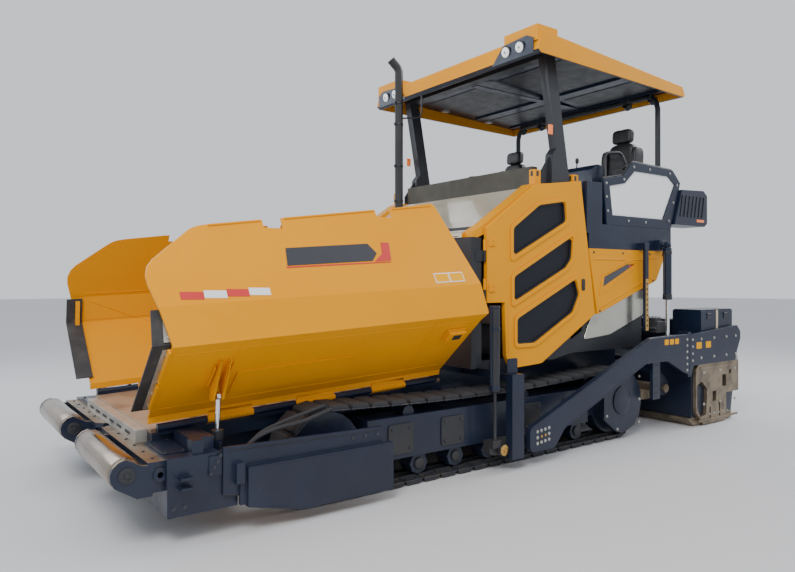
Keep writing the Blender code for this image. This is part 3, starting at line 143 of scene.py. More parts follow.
class MaterialMaker:
    """Builds the node tree of one finish."""

    SOIL_TOP = 0.95          # height that thrown dust reaches
    SOIL_COLOUR = (0.20, 0.165, 0.125, 1.0)
    COAT_ROUGHNESS, BUMP = 0.06, 0.6
    NOISE = {                # octaves of noise and its stretch along each axis
        Texture.GRAIN: (2.0, (1, 1, 1)),
        Texture.BRUSHED: (3.0, (1.0, 0.06, 1.0)),
        Texture.CAST: (8.0, (1, 1, 1)),
        Texture.BANDS: (4.0, (1.0, 0.02, 0.02)),
    }

    def __init__(self, finish: Finish) -> None:
        """Start an empty node tree.

        Args:
            finish: The finish to make.
        """
        self.finish = finish
        self.material = bpy.data.materials.new(finish.name)
        self.material.use_nodes = True
        self.tree = self.material.node_tree
        self.shader = self.tree.nodes["Principled BSDF"]
        self.place = self.tree.nodes.new("ShaderNodeTexCoord").outputs["Object"]

    def node(self, kind: str, links: dict[str, object] | None = None, **values: object) -> bpy.types.Node:
        """Add a node, set its properties and connect its inputs.

        Args:
            kind: Blender's node type.
            links: Input names with a socket to link, or a value to set.
            **values: Properties of the node itself.

        Returns:
            The new node.
        """
        made = self.tree.nodes.new(kind)
        for name, value in values.items():
            setattr(made, name, value)
        for name, value in (links or {}).items():
            if isinstance(value, bpy.types.NodeSocket):
                self.tree.links.new(value, made.inputs[name])
            else:
                made.inputs[name].default_value = value
        return made

    def noise(self, scale: float, detail: float = 5.0, stretch: Point = (1, 1, 1)) -> bpy.types.NodeSocket:
        """A noise value over the surface.

        Args:
            scale: Features per metre.
            detail: Octaves of finer noise.
            stretch: Scale along each axis before the noise is read.

        Returns:
            The noise socket.
        """
        place = self.place
        if tuple(stretch) != (1, 1, 1):
            place = self.node("ShaderNodeMapping", {"Vector": place, "Scale": stretch}).outputs["Vector"]
        return self.node("ShaderNodeTexNoise", {"Vector": place, "Scale": scale,
                                                "Detail": detail}).outputs["Fac"]

    def spread(self, value: bpy.types.NodeSocket, low: float, high: float, to_low: float,
               to_high: float) -> bpy.types.NodeSocket:
        """Map a value from one range to another, held at the ends."""
        made = self.node("ShaderNodeMapRange", {"Value": value, "From Min": low, "From Max": high,
                                                "To Min": to_low, "To Max": to_high})
        return made.outputs["Result"]

    def blend(self, share: bpy.types.NodeSocket, first: object, second: object) -> bpy.types.NodeSocket:
        """Mix two colours.

        Args:
            share: How much of the second.
            first: Socket or colour at share 0.
            second: Socket or colour at share 1.

        Returns:
            The mixed colour.
        """
        made = self.node("ShaderNodeMix", data_type="RGBA")
        self.tree.links.new(share, made.inputs[0])
        for index, value in ((6, first), (7, second)):
            if isinstance(value, bpy.types.NodeSocket):
                self.tree.links.new(value, made.inputs[index])
            else:
                made.inputs[index].default_value = (*value[:3], 1.0)
        return made.outputs[2]

    def relief(self) -> bpy.types.NodeSocket:
        """Height of the fine surface, from 0 to 1."""
        scale, kind = self.finish.grain_scale, self.finish.texture
        if kind in (Texture.HIDE, Texture.MESH, Texture.HONEYCOMB):
            even = 1.0 if kind is Texture.HIDE else 0.0
            cells = self.node("ShaderNodeTexVoronoi", {"Vector": self.place, "Scale": scale,
                                                       "Randomness": even})
            return self.spread(cells.outputs["Distance"], 0.05, 0.45, 0.0, 1.0)
        if kind is Texture.TREAD:
            wave = self.node("ShaderNodeTexWave", {"Vector": self.place, "Scale": scale,
                                                   "Distortion": 0.0}, bands_direction="DIAGONAL")
            return self.spread(wave.outputs["Fac"], 0.75, 0.9, 0.0, 1.0)
        return self.noise(scale, *self.NOISE[kind])

    def make(self) -> bpy.types.Material:
        """Connect colour, roughness, relief and soil.

        Returns:
            The finished material.
        """
        finish = self.finish
        broad = self.noise(finish.patch_scale, 7.0)
        relief = self.relief()
        share = self.spread(broad, 0.45, 0.68, 0.0, finish.patch_share)
        colour = self.blend(share, finish.colour, finish.patch)
        # For a perforated sheet, the holes are painted darker: painted shade in the holes. For hide, the
        # pores are a darker tone.
        if finish.texture in (Texture.MESH, Texture.HIDE):
            marks = self.spread(relief, 0.35, 0.6, 0.75 if finish.texture is Texture.MESH else 0.4, 0.0)
            colour = self.blend(marks, colour, tuple(part * 0.25 for part in finish.colour))
        rough = self.spread(self.noise(finish.patch_scale * 4.3, 6.0), 0.3, 0.7,
                            max(0.02, finish.roughness - 0.06), min(1.0, finish.roughness + 0.09))
        if finish.soil:
            height = self.node("ShaderNodeSeparateXYZ", {"Vector": self.place}).outputs["Z"]
            low = self.spread(height, 0.0, self.SOIL_TOP, finish.soil, 0.0)
            dust = self.node("ShaderNodeMath", {0: low, 1: self.noise(5.0, 8.0)},
                             operation="MULTIPLY").outputs[0]
            colour = self.blend(dust, colour, self.SOIL_COLOUR)
            rough = self.node("ShaderNodeMath", {0: rough, 1: dust}, operation="ADD",
                              use_clamp=True).outputs[0]
        self.tree.links.new(colour, self.shader.inputs["Base Color"])
        self.tree.links.new(rough, self.shader.inputs["Roughness"])
        bump = self.node("ShaderNodeBump", {"Height": relief, "Strength": self.BUMP,
                                            "Distance": finish.grain_height})
        self.tree.links.new(bump.outputs["Normal"], self.shader.inputs["Normal"])
        constants = {"Metallic": finish.metallic, "Coat Weight": finish.coat,
                     "Coat Roughness": self.COAT_ROUGHNESS, "Specular IOR Level": finish.shine,
                     "Transmission Weight": finish.clear}
        if finish.glow:
            constants |= {"Emission Color": (*finish.colour, 1.0), "Emission Strength": finish.glow}
        for name, value in constants.items():
            self.shader.inputs[name].default_value = value
        self.material.diffuse_color = (*finish.colour, 1.0)
        return self.material


YELLOW = Finish("yellow_enamel", (0.80, 0.32, 0.0), (0.70, 0.25, 0.0), 0.34, coat=0.03,
                patch_share=0.2, soil=0.05, shine=0.12, slot="paint_yellow")
NAVY = Finish("slate_blue_enamel", (0.006, 0.012, 0.031), (0.013, 0.024, 0.052), 0.32, coat=0.1,
              patch_share=0.5, soil=0.08, shine=0.4, slot="paint_navy")
GREY = Finish("dark_grey_enamel", (0.016, 0.018, 0.023), (0.034, 0.036, 0.042), 0.42, coat=0.08,
              patch_share=0.4, soil=0.14, shine=0.4, slot="paint_grey")
BROWN_GREY = Finish("matt_parapet_paint", (0.050, 0.046, 0.034), (0.075, 0.066, 0.046), 0.6,
                    patch_share=0.6, slot="paint_grey")
SILVER = Finish("silver_enamel", (0.74, 0.67, 0.52), (0.55, 0.49, 0.39), 0.18, 0.35, coat=0.7,
                patch_share=0.1, patch_scale=0.8, grain_height=0.00002, slot="paint_silver")
# Polished tank: its near-black bluish patches, over up to 95 % of the face, are painted reflections.
TANK_WITH_PAINTED_REFLECTIONS = Finish("polished_tank", (0.62, 0.61, 0.53), (0.03, 0.04, 0.06), 0.14, 0.85, patch_share=0.95,
               patch_scale=1.1, slot="paint_grey")
WORN = Finish("bronze_worn_steel", (0.30, 0.235, 0.165), (0.12, 0.095, 0.075), 0.42, 0.75,
              patch_share=0.8, patch_scale=6.0, texture=Texture.CAST, grain_scale=60.0,
              grain_height=0.0012, slot="worn_steel")
TAN = Finish("scoured_floor_plate", (0.40, 0.29, 0.20), (0.22, 0.15, 0.10), 0.5, 0.45,
             patch_share=0.8, patch_scale=4.0, texture=Texture.BRUSHED, grain_scale=90.0,
             slot="floor_steel")
ZINC = Finish("zinc_plated_steel", (0.50, 0.50, 0.47), (0.33, 0.32, 0.29), 0.4, 0.7,
              patch_share=0.6, patch_scale=9.0, slot="zinc_bar")
ROLLER = Finish("rolled_steel", (0.30, 0.245, 0.19), (0.13, 0.10, 0.075), 0.2, 0.92,
                patch_share=0.4, patch_scale=0.9, texture=Texture.BANDS, grain_scale=9.0,
                grain_height=0.00001, slot="polished_roller")
CHROME = Finish("hard_chrome", (0.78, 0.79, 0.81), (0.66, 0.67, 0.7), 0.1, 1.0, slot="rod_chrome",
                grain_height=0.00005)
BRASS = Finish("brass_pin", (0.62, 0.38, 0.12), (0.4, 0.22, 0.07), 0.3, 1.0, slot="worn_steel")
BOLT = Finish("painted_bolt", (0.055, 0.062, 0.078), (0.11, 0.10, 0.09), 0.36, 0.6, slot="zinc_bar")
RUBBER = Finish("track_rubber", (0.007, 0.009, 0.016), (0.016, 0.018, 0.026), 0.5,
                patch_share=0.6, patch_scale=9.0, texture=Texture.CAST, grain_scale=90.0,
                grain_height=0.0008, soil=0.14, slot="track_rubber")
CHAIN = Finish("track_chain_steel", (0.05, 0.055, 0.07), (0.13, 0.11, 0.09), 0.42, 0.6,
               patch_share=0.7, patch_scale=12.0, texture=Texture.CAST, grain_scale=120.0,
               grain_height=0.0008, soil=0.14, slot="track_rubber")
FLAP = Finish("flap_rubber", (0.028, 0.028, 0.03), (0.075, 0.07, 0.065), 0.55, patch_share=0.6,
              patch_scale=7.0, slot="track_rubber")
IRON = Finish("engine_casting", (0.11, 0.11, 0.115), (0.06, 0.055, 0.05), 0.6, 0.3,
              texture=Texture.CAST, grain_scale=50.0, grain_height=0.001, slot="engine_iron")
LEATHER = Finish("black_seat_hide", (0.016, 0.016, 0.018), (0.035, 0.034, 0.034), 0.42,
                 texture=Texture.HIDE, grain_scale=420.0, grain_height=0.0006, slot="seat_leather")
# Black moulding for the real black parts. It is also used for the dark discs, strips and linings that stand
# for holes, slots and recess walls, and there its black is painted shade.
BLACK_MOULDING_AND_PAINTED_SHADE = Finish("black_moulding", (0.02, 0.021, 0.023), (0.04, 0.04, 0.042), 0.48,
                 grain_scale=500.0, slot="paint_grey")
FROSTED = Finish("frosted_pane", (0.80, 0.83, 0.86), (0.66, 0.71, 0.76), 0.28, patch_share=0.6,
                 patch_scale=1.4, coat=0.5, clear=0.12, slot="frosted_pane")
# Black perforated mesh. The darker holes painted by its texture are painted shade.
VENT = Finish("black_vent_mesh", (0.009, 0.012, 0.019), (0.014, 0.018, 0.026), 0.42, 0.5,
              texture=Texture.MESH, grain_scale=95.0, grain_height=0.003, slot="paint_grey")
GRATE = Finish("tread_plate", (0.05, 0.055, 0.07), (0.09, 0.09, 0.1), 0.45, 0.5,
               texture=Texture.TREAD, grain_scale=14.0, grain_height=0.002, slot="paint_navy")
WHITE = Finish("white_reflector", (0.82, 0.83, 0.84), (0.7, 0.71, 0.74), 0.3, coat=0.5,
               texture=Texture.HONEYCOMB, grain_scale=300.0, slot="paint_yellow")
RED = Finish("red_reflector", (0.62, 0.025, 0.02), (0.42, 0.012, 0.012), 0.3, coat=0.5,
             texture=Texture.HONEYCOMB, grain_scale=300.0, slot="paint_yellow")
DECAL = Finish("dark_decal_film", (0.022, 0.022, 0.03), (0.035, 0.035, 0.045), 0.28, coat=0.6,
               slot="paint_yellow")
ORANGE_TAG = Finish("orange_blank_tag", (0.88, 0.40, 0.0), (0.84, 0.36, 0.0), 0.5, shine=0.1,
                    slot="paint_navy")
# Glows as a lamp lens should; on the hose spiral the same glow is a painted glow.
AMBER = Finish("amber_lens", (0.95, 0.20, 0.015), (0.8, 0.12, 0.01), 0.15, coat=0.8, glow=0.25,
               slot="paint_grey")
# Glows as a lamp lens should; on the console keys the same glow is a painted glow.
LENS = Finish("lamp_lens", (0.90, 0.92, 0.95), (0.75, 0.78, 0.82), 0.12, coat=0.9, glow=0.25,
              slot="paint_grey")
STRAP = Finish("cream_strap", (0.62, 0.52, 0.36), (0.45, 0.36, 0.24), 0.7, grain_scale=700.0,
               slot="paint_navy")


class Datum:
    """Where the tape starts: the push-roller axis, in the frame's coordinates."""

    _y: float | None = None

    @classmethod
    def y(cls) -> float:
        """Frame Y of the push-roller axis."""
        if cls._y is None:
            low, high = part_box("push_roller_left")
            cls._y = (low.y + high.y) / 2
        return cls._y


def row(first: float, step: float, count: int) -> list[float]:
    """Places a step apart."""
    return [first + index * step for index in range(count)]


class Solid:
    """One piece in the making: closed shapes in machine coordinates, on the left side."""

    AXES = {"X": (2, 0, 1), "Y": (0, 2, 1), "Z": (0, 1, 2)}
    SQUARENESS, CUSHION_CUTS = 4.6, 18
    CHANNEL_DEPTH, CHANNEL_WIDTH = 0.07, 0.06    # shares of a cushion's half length
    EDGE_SEGMENTS, EDGE_ANGLE = 2, 28            # facets of a softened edge; least angle, in degrees

    def __init__(self) -> None:
        """Start with no shape."""
        self.bm = bmesh.new()

    def prism(self, points: Sequence[Flat], axis: str, low: float, high: float) -> Solid:
        """Pull a flat outline along an axis.

        Args:
            points: The outline: (y, z) for "X", (x, z) for "Y" and (x, y) for "Z".
            axis: The axis it is pulled along.
            low: Where it starts.
            high: Where it ends.

        Returns:
            This solid.
        """
        self._close(self._levels(axis, ((low, points), (high, points))))
        return self

    def frame(self, outer: Sequence[Flat], inner: Sequence[Flat], axis: str, low: float,
              high: float) -> Solid:
        """A flat ring between two outlines of as many corners, pulled along an axis."""
        rings = self._levels(axis, ((low, outer), (high, outer), (high, inner), (low, inner)))
        self._close([*rings, rings[0]], caps=False)
        return self

    def _levels(self, axis: str, levels: Iterable[tuple[float, Sequence[Flat]]]) -> list[Ring]:
        """New corners of each (level, outline) along an axis."""
        return [[self.bm.verts.new([(u, v, level)[index] for index in self.AXES[axis]])
                 for u, v in points] for level, points in levels]

    def _turned(self, profile: Sequence[Flat], start: Point, end: Point, sides: int) -> list[Ring]:
        """New corners of each (share of the way, radius) round the line from start to end."""
        begin, span = Vector(start), Vector(end) - Vector(start)
        turn = span.to_track_quat("Z", "Y")
        angles = [2 * pi * index / sides for index in range(sides)]
        return [[self.bm.verts.new(begin + span * share
                                   + turn @ Vector((radius * cos(angle), radius * sin(angle), 0)))
                 for angle in angles] for share, radius in profile]

    def _close(self, rings: Sequence[Ring], caps: bool = True) -> None:
        """Join rings of as many points into a skin with two ends.

        Args:
            rings: The rings in order.
            caps: Whether the first and last ring are filled.
        """
        faces = []
        for first, second in zip(rings, rings[1:]):
            for index, corner in enumerate(first):
                after = (index + 1) % len(first)
                faces.append(self.bm.faces.new([corner, first[after], second[after], second[index]]))
        if caps:
            faces.append(self.bm.faces.new(rings[0]))
            faces.append(self.bm.faces.new(rings[-1][::-1]))
        bmesh.ops.recalc_face_normals(self.bm, faces=faces)

    def box(self, x: Flat, y: Flat, z: Flat) -> Solid:
        """A box between two corners."""
        return self.prism(Shape.plate(x, y), "Z", *z)

    def lathe(self, profile: Sequence[Flat], start: Point, end: Point, sides: int = 28) -> Solid:
        """Turn a profile round the line from start to end.

        Args:
            profile: (share of the way along, radius) from one end to the other.
            start: One end of the axis.
            end: The other end.
            sides: Facets round the axis.

        Returns:
            This solid.
        """
        self._close(self._turned(profile, start, end, sides))
        return self

    def boss(self, profile: Sequence[Flat], x: Flat, y: float, z: float, sides: int = 20) -> Solid:
        """Turn a profile round a line across the machine, from one X to another."""
        return self.lathe(profile, (x[0], y, z), (x[1], y, z), sides)

    def rod(self, start: Point, end: Point, radius: float, sides: int = 20) -> Solid:
        """A round bar."""
        return self.lathe([(0, radius), (1, radius)], start, end, sides)

    def collar(self, start: Point, end: Point, outer: float, inner: float, sides: int = 28) -> Solid:
        """A short tube round the line from start to end."""
        rings = self._turned(((0, outer), (1, outer), (1, inner), (0, inner)), start, end, sides)
        self._close([*rings, rings[0]], caps=False)
        return self

    def pipe(self, points: Sequence[Point], radius: float, sides: int = 10,
             bend: float = 0.03, steps: int = 4) -> Solid:
        """A round bar along a route whose corners are rounded.

        Args:
            points: Corners of the route.
            radius: Radius of the bar.
            sides: Facets round it.
            bend: Length taken from each run for the bend.
            steps: Points in each bend.

        Returns:
            This solid.
        """
        corners = [Vector(point) for point in points]
        route = [corners[0]]
        for before, corner, after in zip(corners, corners[1:], corners[2:]):
            reach = min(bend, (corner - before).length * 0.45, (after - corner).length * 0.45)
            route += Shape.bend(corner + (before - corner).normalized() * reach, corner,
                                corner + (after - corner).normalized() * reach, steps)
        route.append(corners[-1])
        rings = []
        facing = (route[1] - route[0]).normalized()
        across = facing.orthogonal().normalized()
        for index, place in enumerate(route):
            ahead = (route[min(index + 1, len(route) - 1)] - route[max(index - 1, 0)]).normalized()
            across = (facing.rotation_difference(ahead) @ across).normalized()
            facing = ahead
            up = facing.cross(across)
            rings.append([place + (across * cos(2 * pi * side / sides)
                                   + up * sin(2 * pi * side / sides)) * radius
                          for side in range(sides)])
        return self.loft(rings)

    def cushion(self, middle: Point, half: Point, lean: float = 0.0,
                channels: Sequence[tuple[int, float]] = ()) -> Solid:
        """A crowned, stuffed block whose sides pull in at the corners.

        Args:
            middle: Its middle.
            half: Half its width, depth and height.
            lean: How far the top leans back, in metres.
            channels: Sewn channels, each (axis, share of the half length from the middle).

        Returns:
            This solid.
        """
        power = self.SQUARENESS
        bmesh.ops.create_cube(self.bm, size=2.0)
        bmesh.ops.subdivide_edges(self.bm, edges=self.bm.edges[:], cuts=self.CUSHION_CUTS,
                                  use_grid_fill=True)
        for vert in self.bm.verts:
            place = vert.co / sum(abs(part) ** power for part in vert.co) ** (1 / power)
            sink = sum(exp(-((place[axis] - at) / self.CHANNEL_WIDTH) ** 2) for axis, at in channels)
            place *= 1 - self.CHANNEL_DEPTH * min(sink, 1.0)
            vert.co = Vector(middle) + Vector(part * reach for part, reach in zip(place, half))
            vert.co.y += lean * place.z
        return self

    def loft(self, rings: Sequence[Sequence[Vector]]) -> Solid:
        """Join rings of as many points into a closed solid."""
        self._close([[self.bm.verts.new(point) for point in ring] for ring in rings])
        return self

    def bolt(self, at: Point, facing: Point = EAST, radius: float = 0.011,
             height: float = 0.008) -> Solid:
        """A hexagon head on its washer.

        Args:
            at: Middle of the seat.
            facing: Direction of the head.
            radius: Across-corners radius of the head.
            height: Height of the head.

        Returns:
            This solid.
        """
        seat, out = Vector(at), Vector(facing).normalized()
        self.lathe([(0, radius * 1.45), (1, radius * 1.45)], seat, seat + out * height * 0.3, 14)
        self.lathe([(0, radius), (0.85, radius), (1, radius * 0.85)], seat + out * height * 0.3,
                   seat + out * height * 1.3, 6)
        return self

    def bolts(self, places: Iterable[Point], radius: float = 0.011, height: float = 0.008,
              facing: Point = EAST) -> Solid:
        """Several bolts that face one way."""
        for place in places:
            self.bolt(place, facing, radius, height)
        return self

    def place(self, name: str, finish: Finish, body: str = "chassis", side: Side = Side.LEFT,
              bevel: float = 0.0, replaces: Sequence[str] = (), smooth: float = 35.0) -> bpy.types.Object:
        """Turn the shapes into a piece of the model.

        Args:
            name: Name of the piece.
            finish: Its finish.
            body: The moving body it rides on.
            side: The side it stands on; the right side is the mirror image.
            bevel: Width of its softened edges.
            replaces: CAD nodes it stands for.
            smooth: Edges below this angle are shaded round, in degrees.

        Returns:
            The new object.
        """
        if side is Side.RIGHT:
            bmesh.ops.scale(self.bm, vec=(-1, 1, 1), verts=self.bm.verts)
            bmesh.ops.reverse_faces(self.bm, faces=self.bm.faces)
        bmesh.ops.translate(self.bm, vec=(0, Datum.y(), 0), verts=self.bm.verts)
        return self.dress(name, self.bm, (finish,), body, bevel, replaces, smooth)

    @staticmethod
    def dress(name: str, bm: bmesh.types.BMesh, finishes: Sequence[Finish], body: str, bevel: float,
              replaces: Sequence[str], smooth: float, choose: Chooser | None = None) -> bpy.types.Object:
        """Make a piece of a shape, which is freed.

        Args:
            name: Name of the piece.
            bm: Its shape, in the frame's coordinates.
            finishes: Its finishes, the main one first.
            body: The moving body it rides on.
            bevel: Width of its softened edges.
            replaces: CAD nodes it stands for.
            smooth: Edges below this angle are shaded round, in degrees.
            choose: Picks the finish of a face from its middle and its normal.

        Returns:
            The new object.
        """
        mesh = bpy.data.meshes.new(name)
        bm.to_mesh(mesh)
        bm.free()
        for each in finishes:
            mesh.materials.append(each.material())
        if choose:
            for face in mesh.polygons:
                face.material_index = choose(face.center, face.normal)
        mesh.shade_smooth()
        mesh.set_sharp_from_angle(angle=radians(smooth))
        piece = bpy.data.objects.new(name, mesh)
        bpy.context.scene.collection.objects.link(piece)
        if bevel:
            edge = piece.modifiers.new("soft_edges", "BEVEL")
            edge.width, edge.segments, edge.limit_method = bevel, Solid.EDGE_SEGMENTS, "ANGLE"
            edge.angle_limit, edge.harden_normals = radians(Solid.EDGE_ANGLE), True
        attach(piece, body)
        if replaces:
            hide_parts(*replaces)
        LOG.info("%s: %d faces on %s", name, len(mesh.polygons), body)
        return piece


class Shell:
    """A CAD node's own shape with softened edges, dressed in one finish or two."""

    WELD, FLAT = 2e-5, 1.0   # corners this near are one; folds below this angle are flat, in degrees

    def __init__(self, frame: dict) -> None:
        """Keep the frame's nodes.
        """
        self.nodes = frame["nodes"]

    def over(self, node: str, finish: Finish, bevel: float = 0.004, smooth: float = 30.0,
             second: Finish | None = None, choose: Chooser | None = None) -> bpy.types.Object:
        """Make the piece that stands for a CAD node.

        Args:
            node: The CAD node.
            finish: Its main finish.
            bevel: Width of its softened edges.
            smooth: Edges below this angle are shaded round, in degrees.
            second: A second finish.
            choose: Picks 0 or 1, the finish of a face, from its middle and its normal.

        Returns:
            The new object.
        """
        source = self.nodes[node]
        bm = bmesh.new()
        bm.from_mesh(source.data)
        bmesh.ops.remove_doubles(bm, verts=bm.verts, dist=self.WELD)
        bmesh.ops.dissolve_limit(bm, angle_limit=radians(self.FLAT), verts=bm.verts, edges=bm.edges)
        finishes = (finish, second) if second else (finish,)
        return Solid.dress(f"{node}_shell", bm, finishes, source["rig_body"], bevel, (node,), smooth, choose)


class Shape:
    """Outlines and levels that several sub-assemblies share."""

    SLOPE = 0.0491           # rise of the hopper floor and of the wing hinges per metre

    @staticmethod
    def floor_z(y: float) -> float:
        """Top of the hopper floor, which rises to the rear."""
        return 0.655 + (y - 0.285) * Shape.SLOPE

    @staticmethod
    def hinge_z(y: float) -> float:
        """Height of the wing hinge line."""
        return 0.672 + (y - 0.25) * Shape.SLOPE

    @staticmethod
    def plate(u: Flat, v: Flat, radius: float = 0.0) -> list[Flat]:
        """Corners of a rectangle, rounded where a radius is given."""
        corners = [(u[0], v[0]), (u[1], v[0]), (u[1], v[1]), (u[0], v[1])]
        return Shape.rounded(corners, radius) if radius else corners

    @staticmethod
    def bend(first: Vector, corner: Vector, last: Vector, steps: int) -> list[Vector]:
        """Points of a curve from first to last that a corner pulls on."""
        shares = [step / steps for step in range(steps + 1)]
        return [first.lerp(corner, share).lerp(corner.lerp(last, share), share) for share in shares]

    @staticmethod
    def inset(points: Sequence[Flat], distance: float) -> list[Flat]:
        """Move each edge of an outline inwards; a negative distance moves it outwards."""
        area = sum(a[0] * b[1] - b[0] * a[1] for a, b in zip(points, [*points[1:], points[0]]))
        turn = 1.0 if area > 0 else -1.0
        moved = []
        for index, corner in enumerate(points):
            here = Vector(corner)
            before = (here - Vector(points[index - 1])).normalized()
            after = (Vector(points[(index + 1) % len(points)]) - here).normalized()
            middle = (Vector((-before.y, before.x)) + Vector((-after.y, after.x))) * turn
            moved.append(tuple(here + middle * (distance * 2 / max(middle.length_squared, 0.4))))
        return moved

    @staticmethod
    def rounded(points: Sequence[Flat], radius: float, steps: int = 4) -> list[Flat]:
        """Round every corner of an outline."""
        made = []
        for index, corner in enumerate(points):
            here = Vector(corner)
            ends = [here + (other - here).normalized() * min(radius, (other - here).length * 0.4)
                    for other in (Vector(points[index - 1]), Vector(points[(index + 1) % len(points)]))]
            made += [tuple(point) for point in Shape.bend(ends[0], here, ends[1], steps)]
        return made


class Assembly:
    """A sub-assembly of one side of the machine, or of its middle."""

    def __init__(self, shell: Shell, side: Side = Side.LEFT) -> None:
        """Keep the shell maker and the side.

        Args:
            shell: Makes pieces from CAD nodes.
            side: The side the sub-assembly stands on.
        """
        self.shell = shell
        self.side = side

    def node(self, stem: str) -> str:
        """Name of a CAD node, a body or a piece on this side."""
        return f"{stem}_{self.side.word}"

    def put(self, solid: Solid, name: str, finish: Finish, body: str = "chassis", bevel: float = 0.0,
            smooth: float = 35.0, replaces: Sequence[str] = ()) -> bpy.types.Object:
        """Place a piece on this side, with the side in its name."""
        return solid.place(self.node(name), finish, body, self.side, bevel, replaces, smooth)


class FrontEnd(Assembly):
    """Push roller and its cheeks, fittings of the front box, and the wing cylinder's hoses."""

    INNER, OUTER, AXIS_Z = 0.323, 1.324, 0.495
    CAP_THICK, SCREW_CIRCLE = 0.010, 0.036
    BOX_TOP = 0.579

    def build(self) -> None:
        """Make the roller, the cheek caps, the box's fittings and the hoses."""
        self.roller()
        self.cheek_caps()
        self.step_box()
        self.hoses()

    def roller(self) -> None:
        """The push roller with necked ends, wear bands and shaft."""
        body = self.node("push_roller")
        profile = [(0, 0.06), (0, 0.092), (0.008, 0.1), (0.02, 0.103), (0.3, 0.1025), (0.5, 0.1015),
                   (0.7, 0.1025), (0.98, 0.103), (0.992, 0.1), (1, 0.092), (1, 0.06)]
        tube = Solid().boss(profile, (self.INNER, self.OUTER), 0, self.AXIS_Z, 56)
        self.put(tube, "roller_tube", ROLLER, body, smooth=40, replaces=(body,))
        hub = Solid()
        for ends in ((self.INNER, self.INNER - 0.007), (self.OUTER, self.OUTER + 0.007)):
            hub.boss([(0, 0.058), (0.7, 0.052), (1, 0.04)], ends, 0, self.AXIS_Z, 24)
        self.put(hub, "roller_hub", WORN, body)

    def cheek_caps(self) -> None:
        """Round keeper plates with screws on both cheeks."""
        caps, screws = Solid(), Solid()
        for face, out in ((1.3662, 1), (0.2808, -1)):
            cap = face + out * self.CAP_THICK
            caps.boss([(0, 0.052), (0.8, 0.052), (1, 0.046)], (face, cap), 0, self.AXIS_Z, 28)
            caps.boss([(0, 0.02), (1, 0.017)], (cap, face + out * 0.018), 0, self.AXIS_Z, 16)
            screws.bolts([(cap, self.SCREW_CIRCLE * cos(angle), self.AXIS_Z + self.SCREW_CIRCLE * sin(angle))
                          for angle in (0.6, 2.2, 3.7, 5.3)], 0.006, 0.006, (out, 0, 0))
        caps.collar((1.3662, 0.20, 0.47), (1.377, 0.20, 0.47), 0.044, 0.021)
        self.put(caps, "cheek_cap", GREY, bevel=0.002)
        self.put(screws, "cheek_cap_screws", BOLT)

    def step_box(self) -> None:
        """Bolts and lid of the front box, and screws of the plate ahead of it."""
        bolts = Solid().bolts([(1.435, 0.508 + 0.022 * index, 0.44 + 0.036 * index)
                               for index in range(4)], 0.010, 0.010)
        bolts.bolts([(1.42, y, 0.25) for y in (0.27, 0.34)], 0.012, 0.010)
        self.put(bolts, "front_box_bolts", BOLT)
        lid = Solid().prism(Shape.plate((0.875, 1.29), (0.245, 0.41), 0.02), "Z", 0.5712, self.BOX_TOP)
        self.put(lid, "front_box_lid", NAVY, bevel=0.002)
        screws = Solid().bolts([(x, y, self.BOX_TOP) for x in (0.905, 1.26) for y in (0.27, 0.385)],
                               0.009, 0.006, UP)
        screws.bolts([(x, 0.18, 0.555) for x in (0.40, 0.62, 0.84, 1.06, 1.27)], 0.009, 0.005, UP)
        self.put(screws, "front_plate_screws", BOLT)

    def hoses(self) -> None:
        """Two hoses to the wing cylinder, one in a spiral guard where it leaves the box."""
        hose = Solid().pipe([(1.345, 0.585, 0.48), (1.345, 0.74, 0.50), (1.345, 0.86, 0.61),
                             (1.34, 1.0, 0.65), (1.32, 1.25, 0.67), (1.30, 1.50, 0.73)],
                            0.016, 10, 0.07, 6)
        hose.pipe([(1.305, 0.585, 0.45), (1.305, 0.77, 0.48), (1.30, 0.91, 0.63), (1.31, 1.10, 0.69),
                   (1.28, 1.45, 0.76)], 0.013, 10, 0.07, 6)
        self.put(hose, "wing_cylinder_hoses", RUBBER)
        spiral = Solid()
        for index in range(5):
            along, up = index * 0.024, index * 0.0032
            spiral.collar((1.3455, 0.60 + along, 0.4816 + up), (1.3455, 0.607 + along, 0.4825 + up),
                          0.0185, 0.0162, 14)
        # The amber lens finish glows. On this spiral guard, which is no lamp, the glow is painted light.
        self.put(spiral, "hose_spiral", AMBER)


class SideGuard(Assembly):
    """Long folded guard ahead of the track, with its socket and welds."""

    RIM_X, WELD_X = 1.4985, 1.4465

    def build(self) -> None:
        """Dress the guard and add its fittings."""
        self.shell.over(self.node("side_guard"), NAVY, 0.006)
        x = self.RIM_X
        rim = Solid().pipe([(x, 0.75, 0.45), (x, 1.93, 0.45)], 0.006, 8)
        rim.pipe([(x, 0.75, 0.19), (x, 1.16, 0.098), (x, 1.93, 0.098)], 0.005, 8)
        self.put(rim, "guard_folded_rim", NAVY)
        bolts = Solid().bolt((1.4975, 0.83, 0.30), EAST, 0.009, 0.004)
        bolts.bolts([(1.4455, y, 0.52) for y in row(1.6, 0.11, 3)], 0.010)
        self.put(bolts, "guard_bolts", BOLT)
        x = self.WELD_X
        weld = Solid().pipe([(x, 0.61, 0.285), (x, 0.74, 0.255)], 0.004, 6)
        weld.pipe([(x, 0.61, 0.575), (x, 1.2, 0.562), (x, 1.86, 0.55)], 0.004, 6)
        self.put(weld, "guard_weld_beads", GREY)


